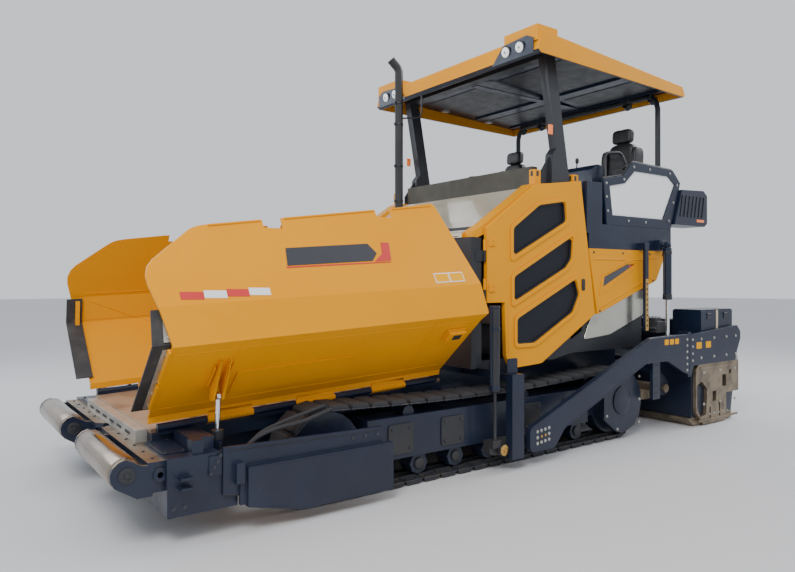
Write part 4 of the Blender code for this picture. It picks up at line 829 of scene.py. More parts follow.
class Wing(Assembly):
    """Folding hopper wing with its rolled rim, flap, tape and blank plates."""

    SECTION = ((0.92, 0.036), (0.92, 0.085), (1.46, 0.615), (1.42, 0.87), (0.985, 1.64), (0.90, 1.80))
    HALF_SHEET = 0.0105
    TOP_FRONT, TOP_REAR = (0.5, 2.078, 0.1328), (1.14, 2.163, 0.1343)    # Y, height, rise per metre
    FRONT = 0.25
    OUTSIDE, INSIDE = -0.001, -0.0215    # where a seam's middle lies, from the outer face

    def build(self) -> None:
        """Dress the wing and add everything fixed to it."""
        self.body = self.node("wing")
        self.shell.over(self.node("hopper_wing"), YELLOW, 0.004, 24)
        for make in (self.rim, self.seams, self.flap, self.tape, self.plates, self.latch, self.cylinder):
            make()

    def skin(self, y: float, rise: float, out: float = 0.0) -> Vector:
        """A point over the outer face.

        Args:
            y: Distance from the roller axis.
            rise: Height above the hinge line.
            out: Distance from the outer face.

        Returns:
            The point in machine coordinates, on the left side.
        """
        for (x0, z0), (x1, z1) in zip(self.SECTION, self.SECTION[1:]):
            if z0 <= rise <= z1 or (x1, z1) == self.SECTION[-1]:
                share = (rise - z0) / (z1 - z0)
                normal = Vector((z1 - z0, 0, x0 - x1)).normalized()
                place = Vector((x0 + (x1 - x0) * share, y, Shape.hinge_z(y) + rise))
                return place + normal * (self.HALF_SHEET + out)
        raise ValueError(f"rise {rise} is below the wing")

    def top_z(self, y: float) -> float:
        """Height of the wing's top edge, which steps at the rear of the first notch."""
        start, height, rise = self.TOP_REAR if y > self.TOP_REAR[0] else self.TOP_FRONT
        return height + (y - start) * rise

    def patch(self, solid: Solid, corners: Sequence[Flat], thick: float = 0.003,
              near: float = 0.0004) -> Solid:
        """Lay a flat plate over the outer face, given as (y, rise) corners of one panel."""
        return solid.loft([[self.skin(y, rise, out) for y, rise in corners] for out in (near, thick)])

    def slab(self, solid: Solid, y: Flat, rise: Flat, near: float, far: float) -> Solid:
        """A flat bar along the skin between two levels and two distances from it."""
        return self.patch(solid, Shape.plate(y, rise), far, near)

    def rim(self) -> None:
        """Half-round bead along the top edge, between the notches."""
        bead = Solid()
        for ends in ((0.60, 1.00), (1.20, 2.04), (2.24, 2.68)):
            bead.pipe([self.skin(y, self.top_z(y) - Shape.hinge_z(y), 0.002) for y in ends], 0.009, 8)
        self.put(bead, "wing_top_bead", YELLOW, self.body)

    def seams(self) -> None:
        """Welded seams on both faces and the doubler round the cylinder's ears."""
        seams = Solid()
        for y in (0.72, 2.42):
            seams.pipe([self.skin(y, rise, self.OUTSIDE) for rise in (0.13, 0.35, 0.59)], 0.004, 6)
        for ends, out, radius in (
                (((0.30, 0.15), (2.80, 0.15)), self.OUTSIDE, 0.004),
                (((0.28, 0.56), (2.84, 0.56)), self.OUTSIDE, 0.004),
                (((0.34, 0.83), (0.80, 0.63)), self.INSIDE, 0.005),
                (((0.86, 0.60), (1.75, 0.14)), self.INSIDE, 0.005),
                (((0.30, 0.645), (2.80, 0.645)), self.INSIDE, 0.004),
                (((0.30, 0.905), (2.80, 0.905)), self.INSIDE, 0.004)):
            seams.pipe([self.skin(y, rise, out) for y, rise in ends], radius, 6)
        self.put(seams, "wing_welds", YELLOW, self.body)
        doubler = self.patch(Solid(), Shape.plate((0.78, 1.75), (0.20, 0.38)), 0.010)
        self.put(doubler, "wing_doubler", YELLOW, self.body, 0.002)

    def flap(self) -> None:
        """Rubber flap with its bolted steel strip, and the stiffening flange behind it."""
        base = Shape.hinge_z(self.FRONT)
        rubber, strip, bolts, flange = Solid(), Solid(), Solid(), Solid()
        for low, high, count in ((0.12, 0.60, 5), (0.63, 0.86, 2)):
            self.slab(rubber, (0.135, 0.275), (low, high), -0.052, -0.038)
            self.slab(strip, (0.205, 0.262), (low + 0.02, high - 0.02), -0.0375, -0.029)
            for index in range(count):
                rise = low + 0.05 + (high - low - 0.10) * index / (count - 1)
                face = self.skin(0.233, rise, -0.029)
                bolts.bolt(face, face - self.skin(0.233, rise, -0.04), 0.009, 0.007)
        for rises in ((0.16, 0.34), (0.36, 0.59)):
            self.slab(flange, (0.232, 0.2495), rises, -0.027, 0.012)
        clamp = Solid().prism([(1.385, 0.58 + base), (1.42, 0.62 + base), (1.40, 0.84 + base),
                               (1.365, 0.82 + base)], "Y", 0.212, 0.2495)
        for solid, name, finish, bevel in (
                (rubber, "flap", FLAP, 0.003), (strip, "flap_strip", ZINC, 0.001),
                (bolts, "flap_bolts", ZINC, 0.0), (flange, "front_flange", YELLOW, 0.002),
                (clamp, "flap_clamp", YELLOW, 0.003)):
            self.put(solid, f"wing_{name}", finish, self.body, bevel)

    def tape(self) -> None:
        """Red and white reflective blocks along the front of the upper panel."""
        for index, low in enumerate(row(0.32, 0.158, 4)):
            high = low + 0.155
            tape = self.patch(Solid(), [(low, 0.905), (high, 0.895), (high, 0.945), (low, 0.955)], 0.0016)
            self.put(tape, f"wing_tape_{index}", WHITE if index % 2 else RED, self.body)

    def plates(self) -> None:
        """Blank dark plate with its red tail, and two small blank tags."""
        for name, finish, corners, thick, bevel in (
                ("blank_plate", DECAL, [(1.13, 1.095), (1.88, 1.105), (1.94, 1.165), (1.88, 1.245),
                                        (1.15, 1.225)], 0.004, 0.001),
                ("plate_tail", RED, [(1.90, 1.10), (2.06, 1.105), (2.09, 1.25), (2.01, 1.252),
                                     (1.99, 1.16)], 0.004, 0.001),
                ("plate_edging", RED, [(1.12, 1.078), (2.05, 1.088), (2.05, 1.096),
                                       (1.12, 1.089)], 0.003, 0.0)):
            self.put(self.patch(Solid(), corners, thick), f"wing_{name}", finish, self.body, bevel)
        borders, tags = Solid(), Solid()
        for low in (2.44, 2.60):
            self.patch(borders, Shape.plate((low, low + 0.155), (0.900, 0.980)), 0.002)
            self.patch(tags, Shape.plate((low + 0.007, low + 0.148), (0.907, 0.973)), 0.0032)
        self.put(borders, "wing_tag_borders", WHITE, self.body)
        self.put(tags, "wing_blank_tags", ORANGE_TAG, self.body)

    def latch(self) -> None:
        """Transport lock at the rear of the wing and the channel over the cylinder's ears."""
        block = self.slab(Solid(), (2.62, 2.80), (0.43, 0.50), 0.0, 0.05)
        self.slab(block, (2.60, 2.82), (0.42, 0.51), 0.0, 0.012)
        self.put(block, "wing_lock", YELLOW, self.body, 0.005)
        # The slot is a dark plate: its black is painted shade in the slot.
        slot = self.slab(Solid(), (2.67, 2.76), (0.445, 0.485), 0.0502, 0.053)
        self.put(slot, "wing_lock_slot", BLACK_MOULDING_AND_PAINTED_SHADE, self.body, 0.001)
        channel = Solid()
        for y in (0.585, 0.709):
            self.patch(channel, [(y, 0.30), (y + 0.012, 0.30), (y + 0.012, 0.44), (y, 0.46)], 0.022)
        self.put(channel, "wing_cylinder_channel", YELLOW, self.body, 0.003)

    def cylinder(self) -> None:
        """Dress the wing cylinder with its gland, clamp and pipe."""
        barrel = self.node("wing_barrel")
        self.shell.over(barrel, NAVY, 0.003)
        self.shell.over(self.node("wing_rod"), CHROME, 0.001)
        foot, beside = Vector((1.165, 0.655, 0.27)), Vector((0.05, 0, 0))
        line = (Vector((1.175, 0.655, 0.90)) - foot).normalized()
        gland = Solid().collar(foot + line * 0.33, foot + line * 0.392, 0.046, 0.0425)
        gland.collar(foot + line * 0.10, foot + line * 0.125, 0.047, 0.0425)
        gland.pipe([foot + line * 0.08 + beside, foot + line * 0.31 + beside], 0.008, 8)
        self.put(gland, "wing_cylinder_gland", GREY, barrel, 0.002)


class Track(Assembly):
    """Steel chain with bolted rubber shoes round the idler and sprocket."""

    IDLER, SPROCKET, SAG, SHOES = (1.50, 0.375), (5.04, 0.385), 0.055, 50
    INNER, OUTER = 0.965, 1.28
    RUN_STEPS, TURN_STEPS = 120, 48
    PAD_FOOT, PLATE_TOP, PLATE_FOOT, LINK_FOOT = 0.032, 0.0325, 0.043, 0.055

    def route(self) -> list[Vector]:
        """Dense outer path of the track as (y, z) points, closed."""
        (y0, r0), (y1, r1) = self.IDLER, self.SPROCKET
        shares = [index / self.RUN_STEPS for index in range(self.RUN_STEPS)]
        angles = [pi * index / self.TURN_STEPS for index in range(self.TURN_STEPS)]
        path = [Vector((y0 + (y1 - y0) * share, 2 * r0 + share * 2 * (r1 - r0) - self.SAG * sin(pi * share)))
                for share in shares]
        path += [Vector((y1 + r1 * sin(angle), r1 + r1 * cos(angle))) for angle in angles]
        path += [Vector((y1 + (y0 - y1) * share, 0.0)) for share in shares]
        path += [Vector((y0 - r0 * sin(angle), r0 - r0 * cos(angle))) for angle in angles]
        return path

    def stations(self) -> list[tuple[Vector, Vector]]:
        """Middle and direction of each shoe along the path."""
        path = self.route()
        spans = [(b - a).length for a, b in zip(path, [*path[1:], path[0]])]
        total = sum(spans)
        self.pitch = total / self.SHOES
        made = []
        for index in range(self.SHOES):
            target, run = total * (index + 0.5) / self.SHOES, 0.0
            for at, span in enumerate(spans):
                if run + span >= target:
                    here, after = path[at], path[(at + 1) % len(path)]
                    made.append((here.lerp(after, (target - run) / span), (after - here).normalized()))
                    break
                run += span
        return made

    def build(self) -> None:
        """Make pads, shoe plates, links and bolts."""
        pads, plates, links, bolts = Solid(), Solid(), Solid(), Solid()
        for place, along in self.stations():
            out = Vector((-along.y, along.x))
            if out.dot(place - Vector((3.27, 0.38))) < 0:
                out = -out

            def outline(*corners: Flat) -> list[Flat]:
                """Points of the shoe's profile, each (forward, depth)."""
                return [tuple(place + along * forward - out * depth) for forward, depth in corners]

            half = self.pitch / 2
            foot, shoulder, edge = half - 0.018, half - 0.034, half - 0.006
            pads.prism(outline((-foot, self.PAD_FOOT), (-foot, 0.014), (-shoulder, 0.001),
                               (shoulder, 0.001), (foot, 0.014), (foot, self.PAD_FOOT)),
                       "X", self.INNER + 0.004, self.OUTER - 0.004)
            plates.prism(outline((-edge, self.PLATE_FOOT), (-edge, self.PLATE_TOP), (edge, self.PLATE_TOP),
                                 (edge, self.PLATE_FOOT)), "X", self.INNER, self.OUTER)
            seat = self.PLATE_FOOT + 0.0002
            for low in (1.045, 1.165):
                links.prism(outline((-half + 0.001, self.LINK_FOOT), (-half + 0.02, seat),
                                    (half - 0.001, seat), (half - 0.02, self.LINK_FOOT)),
                            "X", low, low + 0.034)
            for x in (1.00, 1.245):
                for spot in outline((-0.045, seat), (0.045, seat)):
                    bolts.bolt((x, *spot), (0, *(-out)), 0.010, 0.008)
        self.put(pads, "track_pads", RUBBER, bevel=0.003, replaces=(self.node("track"),))
        self.put(plates, "track_plates", CHAIN)
        self.put(links, "track_links", CHAIN)
        self.put(bolts, "track_bolts", BOLT)


class TrackFrame(Assembly):
    """Roller frame with caps, grease covers and the final drive."""

    ROLLER_X, ROLLER_Z = 1.211, 0.15
    DRIVE_BOLTS = ((4.80, 0.28), (4.98, 0.12), (5.36, 0.15), (5.37, 0.40), (5.37, 0.65),
                   (5.02, 0.67), (4.80, 0.52))
    PLATES = (2.06, 2.62, 3.62, 4.2)

    def build(self) -> None:
        """Dress the frame and add its rollers' caps and plates."""
        self.shell.over(self.node("track_frame"), NAVY, 0.004)
        caps, screws = Solid(), Solid()
        for y in row(2.0, 0.41, 7):
            caps.boss([(0, 0.05), (0.7, 0.05), (1, 0.035)], (self.ROLLER_X, 1.232), y, self.ROLLER_Z)
            screws.bolts([(1.228, y + dy, self.ROLLER_Z) for dy in (-0.028, 0.028)], 0.006, 0.005)
        caps.boss([(0, 0.13), (0.5, 0.12), (1, 0.06)], (self.ROLLER_X, 1.245), *Track.IDLER, 32)
        self.put(caps, "roller_caps", GREY, bevel=0.002)
        self.put(screws, "roller_cap_screws", BOLT)
        cover = Solid().boss([(0, 0.15), (0.4, 0.15), (0.8, 0.12), (1, 0.05)], (1.3365, 1.360),
                             5.06, 0.42, 36)
        self.put(cover, "final_drive_cap", NAVY, bevel=0.003)
        bolts = Solid().bolts([(1.3362, *place) for place in self.DRIVE_BOLTS], 0.011, 0.009)
        self.put(bolts, "final_drive_bolts", ZINC)
        plates, heads = Solid(), Solid()
        for y in self.PLATES:
            plates.prism(Shape.plate((y, y + 0.26), (0.27, 0.52), 0.03), "X", 1.2512, 1.262)
            heads.bolts([(1.262, y + dy, z) for dy in (0.04, 0.22) for z in (0.31, 0.48)], 0.010, 0.009)
        self.put(plates, "frame_side_plates", GREY, bevel=0.003)
        self.put(heads, "frame_plate_bolts", BOLT)


class TowGear(Assembly):
    """Tow point, crosshead, tow arm and the screed's side beam and end gate."""

    FACE, GATE, HANGER, POST = 1.5002, 1.4852, 1.4595, 1.4985
    BARREL = (1.42, 3.10)
    DISC = (3.175, 0.195)

    def build(self) -> None:
        """Dress the nodes and add bolts, pins, tags and the hanger's holes."""
        for stem, finish in (("tow_barrel", GREY), ("crosshead", GREY), ("tow_arm", NAVY),
                             ("screed_side_beam", NAVY), ("end_gate", WORN)):
            self.shell.over(self.node(stem), finish, 0.004)
        self.barrel_fittings()
        self.arm_fittings()
        self.beam_fittings()
        self.gate_fittings()

    def tags(self, name: str, lows: Sequence[float], width: float, z: Flat) -> None:
        """Blank tags on the outer face, one from each low Y."""
        tags = Solid()
        for low in lows:
            tags.prism(Shape.plate((low, low + width), z, 0.008), "X", self.FACE, self.FACE + 0.0015)
        self.put(tags, name, ORANGE_TAG, "screed")

    def barrel_fittings(self) -> None:
        """Gland, clamps and roller disc of the levelling cylinder."""
        fit = Solid()
        for low, high in ((0.735, 0.775), (1.265, 1.29), (1.4605, 1.478)):
            fit.collar((*self.BARREL, low), (*self.BARREL, high), 0.051, 0.0465)
        fit.pipe([(1.43, 3.045, 0.78), (1.43, 3.045, 1.44)], 0.009, 8)
        self.put(fit, "tow_cylinder_clamps", NAVY, bevel=0.002)
        disc = Solid().boss([(0, 0.050), (0.6, 0.050), (1, 0.042)], (1.4655, 1.476), *self.DISC, 32)
        disc.boss([(0, 0.018), (1, 0.015)], (1.476, 1.486), *self.DISC, 16)
        self.put(disc, "crosshead_disc", BRASS, "tow_points", 0.001)
        plate = Solid().prism(Shape.plate((3.25, 3.38), (0.86, 1.00), 0.02), "X", 1.42, 1.428)
        self.put(plate, "post_cover", NAVY, bevel=0.002)
        post = Solid().bolts([(self.POST, y, z) for y in (3.265, 3.365) for z in (0.80, 0.62)], 0.009, 0.003)
        self.put(post, "post_bolts", BOLT)

    def arm_fittings(self) -> None:
        """Bolts, brass pins and adjusting holes on the tow arm's outer face."""
        face, edge = self.FACE, 1.499
        bolts, holes, pins, hanger = Solid(), Solid(), Solid(), Solid()
        for column, y in enumerate(row(3.565, 0.052, 4)):
            for line, z in enumerate(row(0.205, 0.054, 3)):
                place = (y, z + column * 0.006)
                if line == 1 and column in (1, 2):
                    pins.boss([(0, 0.013), (0.7, 0.013), (1, 0.008)], (face, face + 0.008), *place, 18)
                else:
                    bolts.bolt((face, *place), EAST, 0.011, 0.007)
        # The adjusting holes are dark discs: painted shade where the holes are.
        for y in (3.80, 3.866):
            for z in (0.30, 0.385):
                holes.boss([(0, 0.006), (1, 0.006)], (face - 0.001, face + 0.0015), y, z, 14)
        bolts.bolts([(face, 6.045, z) for z in row(0.68, 0.07, 6)], 0.011, 0.007)
        rim = Solid().pipe([(edge, 3.52, 0.345), (edge, 5.36, 1.073), (edge, 6.05, 1.083)], 0.005, 8)
        rim.pipe([(edge, 3.97, 0.312), (edge, 5.26, 0.815), (edge, 5.66, 0.815)], 0.005, 8)
        # The hanger's holes are dark discs too: painted shade where the holes are.
        for y in row(5.475, 0.032, 3):
            for z in row(0.47, 0.075, 5):
                hanger.boss([(0, 0.011), (1, 0.011)], (self.HANGER, self.HANGER + 0.002), y, z, 14)
        for solid, name, finish in ((bolts, "arm_bolts", ZINC), (pins, "arm_pins", BRASS),
                                    (holes, "arm_holes", BLACK_MOULDING_AND_PAINTED_SHADE), (rim, "arm_weld_rims", NAVY),
                                    (hanger, "hanger_holes", BLACK_MOULDING_AND_PAINTED_SHADE)):
            self.put(solid, name, finish, "screed")
        self.tags("arm_blank_tags", (5.60, 5.70, 5.80), 0.075, (0.99, 1.05))

    def beam_fittings(self) -> None:
        """Bolted joint and blank tags of the side beam."""
        bolts = Solid().bolts([(self.FACE, 6.16, z) for z in row(0.78, 0.08, 4)], 0.011, 0.007)
        bolts.bolts([(self.FACE, y, z) for y in (6.34, 6.62, 6.90, 7.12) for z in (0.80, 1.02)], 0.012, 0.008)
        self.put(bolts, "beam_bolts", ZINC, "screed")
        self.tags("beam_blank_tags", (6.24, 6.44), 0.11, (0.91, 0.985))

    def gate_fittings(self) -> None:
        """Bolts, rails and height screw of the end gate."""
        face, screw = self.GATE, (1.46, 7.205)
        gate = Solid().bolts([(face, y, z) for y in (6.42, 6.78, 7.12) for z in (0.25, 0.62)], 0.013, 0.010)
        gate.bolts([(face, y, 0.12) for y in row(6.55, 0.1, 5)], 0.009, 0.006)
        self.put(gate, "gate_bolts", ZINC, "screed")
        rail = Solid().box((face, 1.4935), (6.34, 7.14), (0.655, 0.690))
        rail.box((face, 1.4935), (6.30, 7.18), (0.045, 0.075))
        self.put(rail, "gate_rails", WORN, "screed", 0.002)
        crank = Solid().pipe([(*screw, 0.60), (*screw, 0.90)], 0.014, 12)
        crank.rod((*screw, 0.66), (*screw, 0.76), 0.022, 16)
        self.put(crank, "gate_height_screw", ZINC, "screed")


class LiftCylinder(Assembly):
    """Screed lift cylinder with its lock bar."""

    COLLAR, BORE = 0.052, 0.0485
    BAR_X, BAR_Y = 1.3352, 5.52

    def build(self) -> None:
        """Dress barrel and rod, and add gland, clamp, pipe and the perforated lock bar."""
        barrel = self.node("lift_barrel")
        self.shell.over(barrel, NAVY, 0.003)
        self.shell.over(self.node("lift_rod"), CHROME, 0.001)
        low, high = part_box("lift_barrel_left")
        x, y = (low.x + high.x) / 2, (low.y + high.y) / 2 - Datum.y()
        gland = Solid()
        for near, far in ((low.z + 0.002, low.z + 0.06), (high.z - 0.14, high.z - 0.11)):
            gland.collar((x, y, near), (x, y, far), self.COLLAR, self.BORE)
        gland.pipe([(x, y - 0.058, low.z + 0.04), (x, y - 0.058, high.z - 0.14)], 0.009, 8)
        self.put(gland, "lift_cylinder_gland", GREY, barrel, 0.002)
        # The lock bar's holes are dark discs: painted shade where the holes are.
        holes = Solid()
        for z in row(1.20, 0.058, 9):
            holes.boss([(0, 0.013), (1, 0.013)], (self.BAR_X, self.BAR_X + 0.002), self.BAR_Y, z, 16)
        self.put(holes, "lock_bar_holes", BLACK_MOULDING_AND_PAINTED_SHADE)
        bar = Solid().box((self.BAR_X, self.BAR_X + 0.001), (5.493, 5.547), (1.145, 1.72))
        self.put(bar, "lock_bar_face", BRASS, bevel=0.0003)


class Screed(Assembly):
    """Screed box with its plate and rear rails."""

    REAR = 7.1815

    def build(self) -> None:
        """Dress the screed's nodes and add the rails along its rear."""
        self.shell.over("screed_frame", NAVY, 0.006)
        self.shell.over("screed_plate", WORN, 0.002)
        rails = Solid().pipe([(-1.05, self.REAR, 0.86), (1.05, self.REAR, 0.86)], 0.012, 10)
        rails.pipe([(-1.2, self.REAR, 0.70), (1.2, self.REAR, 0.70)], 0.016, 10)
        rails.place("screed_rear_rails", ZINC, "screed")


class ScreedSide(Assembly):
    """Toolbox hardware, valve block, hoses and rear slots of half the screed."""

    TAPS = row(0.83, 0.047, 4)

    def build(self) -> None:
        """Add the fittings of this half."""
        lid = Solid().box((1.068, 1.422), (6.468, 7.162), (1.3405, 1.352))
        self.put(lid, "toolbox_lid", NAVY, "screed", 0.004)
        hinge = Solid()
        for y in (6.62, 7.00):
            hinge.rod((1.436, y - 0.04, 1.30), (1.436, y + 0.04, 1.30), 0.009, 12)
            hinge.box((1.4305, 1.436), (y - 0.035, y + 0.035), (1.235, 1.30))
        self.put(hinge, "toolbox_hinges", GREY, "screed", 0.001)
        strap = Solid().box((1.4305, 1.4345), (6.79, 6.83), (1.06, 1.345))
        self.put(strap, "toolbox_strap", STRAP, "screed")
        valve = Solid().box((0.80, 1.00), (6.24, 6.40), (1.0605, 1.20))
        valve.box((0.84, 0.96), (6.26, 6.38), (1.20, 1.24))
        self.put(valve, "valve_block", IRON, "screed", 0.005)
        taps, hoses, slots = Solid(), Solid(), Solid()
        for index, x in enumerate(self.TAPS):
            taps.lathe([(0, 0.014), (0.6, 0.014), (0.6, 0.010), (1, 0.010)], (x, 6.2395, 1.12),
                       (x, 6.205, 1.12), 12)
            taps.rod((x, 6.32, 1.24), (x, 6.32, 1.262), 0.013, 12)
            hoses.pipe([(x, 6.21, 1.12), (x - 0.01, 6.17, 1.12), (x - 0.10 - 0.03 * index, 6.165, 1.02),
                        (x - 0.24, 6.20, 1.075)], 0.011, 8, 0.05, 5)
        # The rear slots are dark strips: painted shade where the slots are.
        for x in row(0.10, 0.05, 9):
            slots.box((x, x + 0.025), (7.1798, 7.1835), (0.35, 0.62))
        self.put(taps, "valve_fittings", CHROME, "screed")
        self.put(hoses, "screed_hoses", BLACK_MOULDING_AND_PAINTED_SHADE, "screed")
        self.put(slots, "screed_rear_slots", BLACK_MOULDING_AND_PAINTED_SHADE, "screed", 0.001)


class Auger(Assembly):
    """Spreading screw with its end collar."""

    def build(self) -> None:
        """Dress the screw and its end collar."""
        body = self.node("auger")
        self.shell.over(body, WORN, 0.0015)
        collar = Solid().boss([(0, 0.056), (0.5, 0.056), (1, 0.046)], (1.152, 1.172), 5.98, 0.45)
        self.put(collar, "auger_collar", GREY, body, 0.002)


class Door(Assembly):
    """Side door: raised borders round its mesh windows, hinges and latch."""

    WINDOWS = (
        ((3.50, 1.93), (3.50, 2.20), (3.86, 2.44), (4.24, 2.50), (4.26, 2.30)),
        ((3.51, 1.50), (3.51, 1.74), (4.36, 2.16), (4.34, 1.92), (4.25, 1.83)),
        ((3.55, 1.10), (3.55, 1.34), (4.40, 1.72), (4.46, 1.56), (4.36, 1.38), (3.80, 1.10)),
    )
    FACE, POCKET = 1.25, 1.222
    CORNER, STEPS = 0.03, 3

    def build(self) -> None:
        """Dress the door, its windows and its hardware."""
        self.body = self.node("door")

        def pick(middle: Vector, normal: Vector) -> int:
            """Mesh at the bottom of the pockets, paint elsewhere."""
            deep = self.POCKET - 0.004 < abs(middle.x) < self.POCKET + 0.004
            return 1 if deep and normal.x * self.side.value > 0.9 else 0

        self.shell.over(self.node("side_door"), YELLOW, 0.006, 24, VENT, pick)
        self.windows()
        self.hardware()

    def windows(self) -> None:
        """A raised border, a dark throat whose black is painted shade on the recess walls, and a mesh for
        each window.
        """
        borders, meshes, throats = Solid(), Solid(), Solid()
        for window in self.WINDOWS:
            inner, lip, throat, mesh = (
                Shape.rounded(Shape.inset(window, inset) if inset else window, self.CORNER, self.STEPS)
                for inset in (0, 0.002, 0.012, 0.004))
            outer = Shape.rounded(Shape.inset(window, -0.036), 0.05, self.STEPS)
            borders.frame(outer, inner, "X", self.FACE + 0.0004, self.FACE + 0.015)
            # The throats line the window recesses in black: painted shade on the recess walls.
            throats.frame(lip, throat, "X", self.POCKET + 0.002, self.FACE - 0.006)
            meshes.prism(mesh, "X", self.POCKET + 0.0006, self.POCKET + 0.004)
        self.put(borders, "door_window_borders", YELLOW, self.body, 0.009)
        self.put(throats, "door_window_throats", BLACK_MOULDING_AND_PAINTED_SHADE, self.body, 0.001)
        self.put(meshes, "door_window_mesh", VENT, self.body)

    def hardware(self) -> None:
        """Folds of the sheet, hinge leaves and latch."""
        near, leaf = self.FACE + 0.0006, self.FACE + 0.010
        crease = Solid().pipe([(near, 3.44, 1.02), (near, 3.44, 1.46)], 0.004, 6)
        crease.pipe([(near, 3.93, 0.93), (near, 4.60, 1.30)], 0.004, 6)
        self.put(crease, "door_folds", YELLOW, self.body)
        hinge = Solid()
        for z in (1.58, 2.00):
            hinge.box((self.FACE + 0.0005, leaf), (3.185, 3.26), (z + 0.02, z + 0.09))
            hinge.bolts([(leaf, 3.235, z + dz) for dz in (0.035, 0.075)], 0.008, 0.005)
        self.put(hinge, "door_hinge_leaves", YELLOW, self.body, 0.002)
        latch = Solid().prism(Shape.plate((4.50, 4.545), (1.60, 1.72), 0.015), "X", self.FACE + 0.0005,
                              self.FACE + 0.012)
        self.put(latch, "door_latch", BLACK_MOULDING_AND_PAINTED_SHADE, self.body, 0.003)


class RearPanel(Assembly):
    """Fixed yellow panel behind the door, and the tank below it."""

    FACE = 1.2504
    INSET = ((4.86, 1.63), (4.88, 1.74), (5.28, 1.88), (5.42, 1.88))
    TANK = ((4.58, 1.085), (5.02, 1.115), (5.63, 1.315), (5.69, 1.735), (5.00, 1.70), (4.73, 1.37))
    BOLTS = ((4.70, 2.00), (5.20, 2.00), (5.70, 2.00), (5.95, 2.00), (4.80, 1.38), (5.76, 1.70))

    def build(self) -> None:
        """Dress the panel and add its ribs, blank plate, bolts and the tank."""
        self.shell.over(self.node("rear_panel"), YELLOW, 0.006, 24)
        face = self.FACE
        ribs = Solid().frame(Shape.rounded(Shape.inset(self.INSET, -0.055), 0.03),
                             Shape.rounded(Shape.inset(self.INSET, -0.026), 0.02), "X", face, face + 0.006)
        ribs.pipe([(face, 4.70, 1.93), (face, 5.55, 1.93), (face, 5.86, 1.97)], 0.008, 8)
        ribs.pipe([(face, 4.80, 1.42), (face, 5.70, 1.74)], 0.008, 8)
        self.put(ribs, "rear_panel_ribs", YELLOW, bevel=0.002)
        plate = Solid().prism(Shape.rounded(Shape.inset(self.INSET, 0.004), 0.012), "X", 1.236, 1.242)
        self.put(plate, "rear_panel_blank", DECAL, bevel=0.001)
        accent = Solid().prism([(5.30, 1.856), (5.33, 1.867), (5.40, 1.867), (5.37, 1.84)], "X",
                               1.2422, 1.2445)
        self.put(accent, "rear_panel_accent", RED)
        bolts = Solid().bolts([(face, *place) for place in self.BOLTS], 0.009, 0.005)
        self.put(bolts, "rear_panel_bolts", BOLT)
        # The tank's dark bluish patches are painted reflections.
        tank = Solid().prism(Shape.rounded(self.TANK, 0.04), "X", 1.1975, 1.212)
        self.put(tank, "tank", TANK_WITH_PAINTED_REFLECTIONS, bevel=0.008)
        marks = Solid()
        for y in row(5.19, 0.055, 3):
            marks.boss([(0, 0.020), (1, 0.019)], (1.2122, 1.2132), y, 1.555)
        self.put(marks, "tank_blank_marks", WHITE)


class Hood(Assembly):
    """Engine bonnet, the parapet behind it and the frame below."""

    CHEEK_X = 1.055          # beyond this the bonnet is painted as the cheeks are

    def build(self) -> None:
        """Dress the bonnet in two paints and add its strip and slots."""

        def pick(middle: Vector, _: Vector) -> int:
            """Silver between the cheeks, yellow on them and on the lugs."""
            return 1 if abs(middle.x) > self.CHEEK_X else 0

        self.shell.over("hood", SILVER, 0.005, 24, YELLOW, pick)
        for node, finish, bevel in (("bulkhead", GREY, 0.004), ("rear_body", GREY, 0.006),
                                    ("engine_block", IRON, 0.01), ("dash_parapet", BROWN_GREY, 0.01),
                                    ("main_frame", NAVY, 0.004)):
            self.shell.over(node, finish, bevel)
        strip = Solid().prism([(2.992, 2.106), (3.21, 2.211), (3.21, 2.219), (2.984, 2.112)], "X",
                              -1.05, 1.05)
        strip.place("bonnet_lower_strip", GREY, bevel=0.003)
        # The air slots are dark boxes: painted shade where the slots are.
        slots = Solid()
        for y, low in zip(row(3.98, 0.038, 14), row(2.672, 0.0006, 14)):
            slots.box((-0.75, 0.75), (y, y + 0.016), (low, 2.705))
        slots.place("bonnet_air_slots", BLACK_MOULDING_AND_PAINTED_SHADE)


class Cheek(Assembly):
    """One cheek of the bonnet: vent holes, lug windows and the bulkhead's return."""

    HOLES = ((3.36, 2.28), (3.42, 2.32), (3.48, 2.36), (3.38, 2.24), (3.44, 2.28), (3.50, 2.32))
    LUGS, WINDOW_Z = (3.86, 4.43), (2.735, 2.785)

    def build(self) -> None:
        """Add the return, the holes and the lugs' windows."""
        fill = Solid().box((1.168, 1.214), (3.0605, 3.132), (0.93, 2.098))
        self.put(fill, "bulkhead_return", GREY, bevel=0.004)
        # The vent holes and lug windows are dark discs and sheets: painted shade where the openings are.
        holes = Solid()
        for place in self.HOLES:
            holes.boss([(0, 0.013), (1, 0.013)], (1.1975, 1.1990), *place, 14)
        for low in self.LUGS:
            holes.box((1.1395, 1.1705), (low - 0.0012, low), self.WINDOW_Z)
            holes.box((1.19, 1.1912), (low + 0.028, low + 0.062), self.WINDOW_Z)
        self.put(holes, "cheek_vent_holes", BLACK_MOULDING_AND_PAINTED_SHADE)


class Platform(Assembly):
    """Operator's deck with its tread and the folded consoles."""

    FOLDED = 0.45            # share of the console's height left when it is tilted down
    CONSOLE_LOW, CONSOLE_Y = 2.75, (4.80, 5.20)

    def build(self) -> None:
        """Dress the deck, fold its consoles and lay the tread."""
        deck = self.shell.over("platform_deck", NAVY, 0.006)
        for vertex in deck.data.vertices:
            near, far = self.CONSOLE_Y
            if vertex.co.z > self.CONSOLE_LOW and near < vertex.co.y - Datum.y() < far:
                vertex.co.z = self.CONSOLE_LOW + (vertex.co.z - self.CONSOLE_LOW) * self.FOLDED
        tread = Solid().box((-0.52, 0.52), (4.75, 5.70), (2.3003, 2.306))
        tread.place("deck_tread", GRATE)


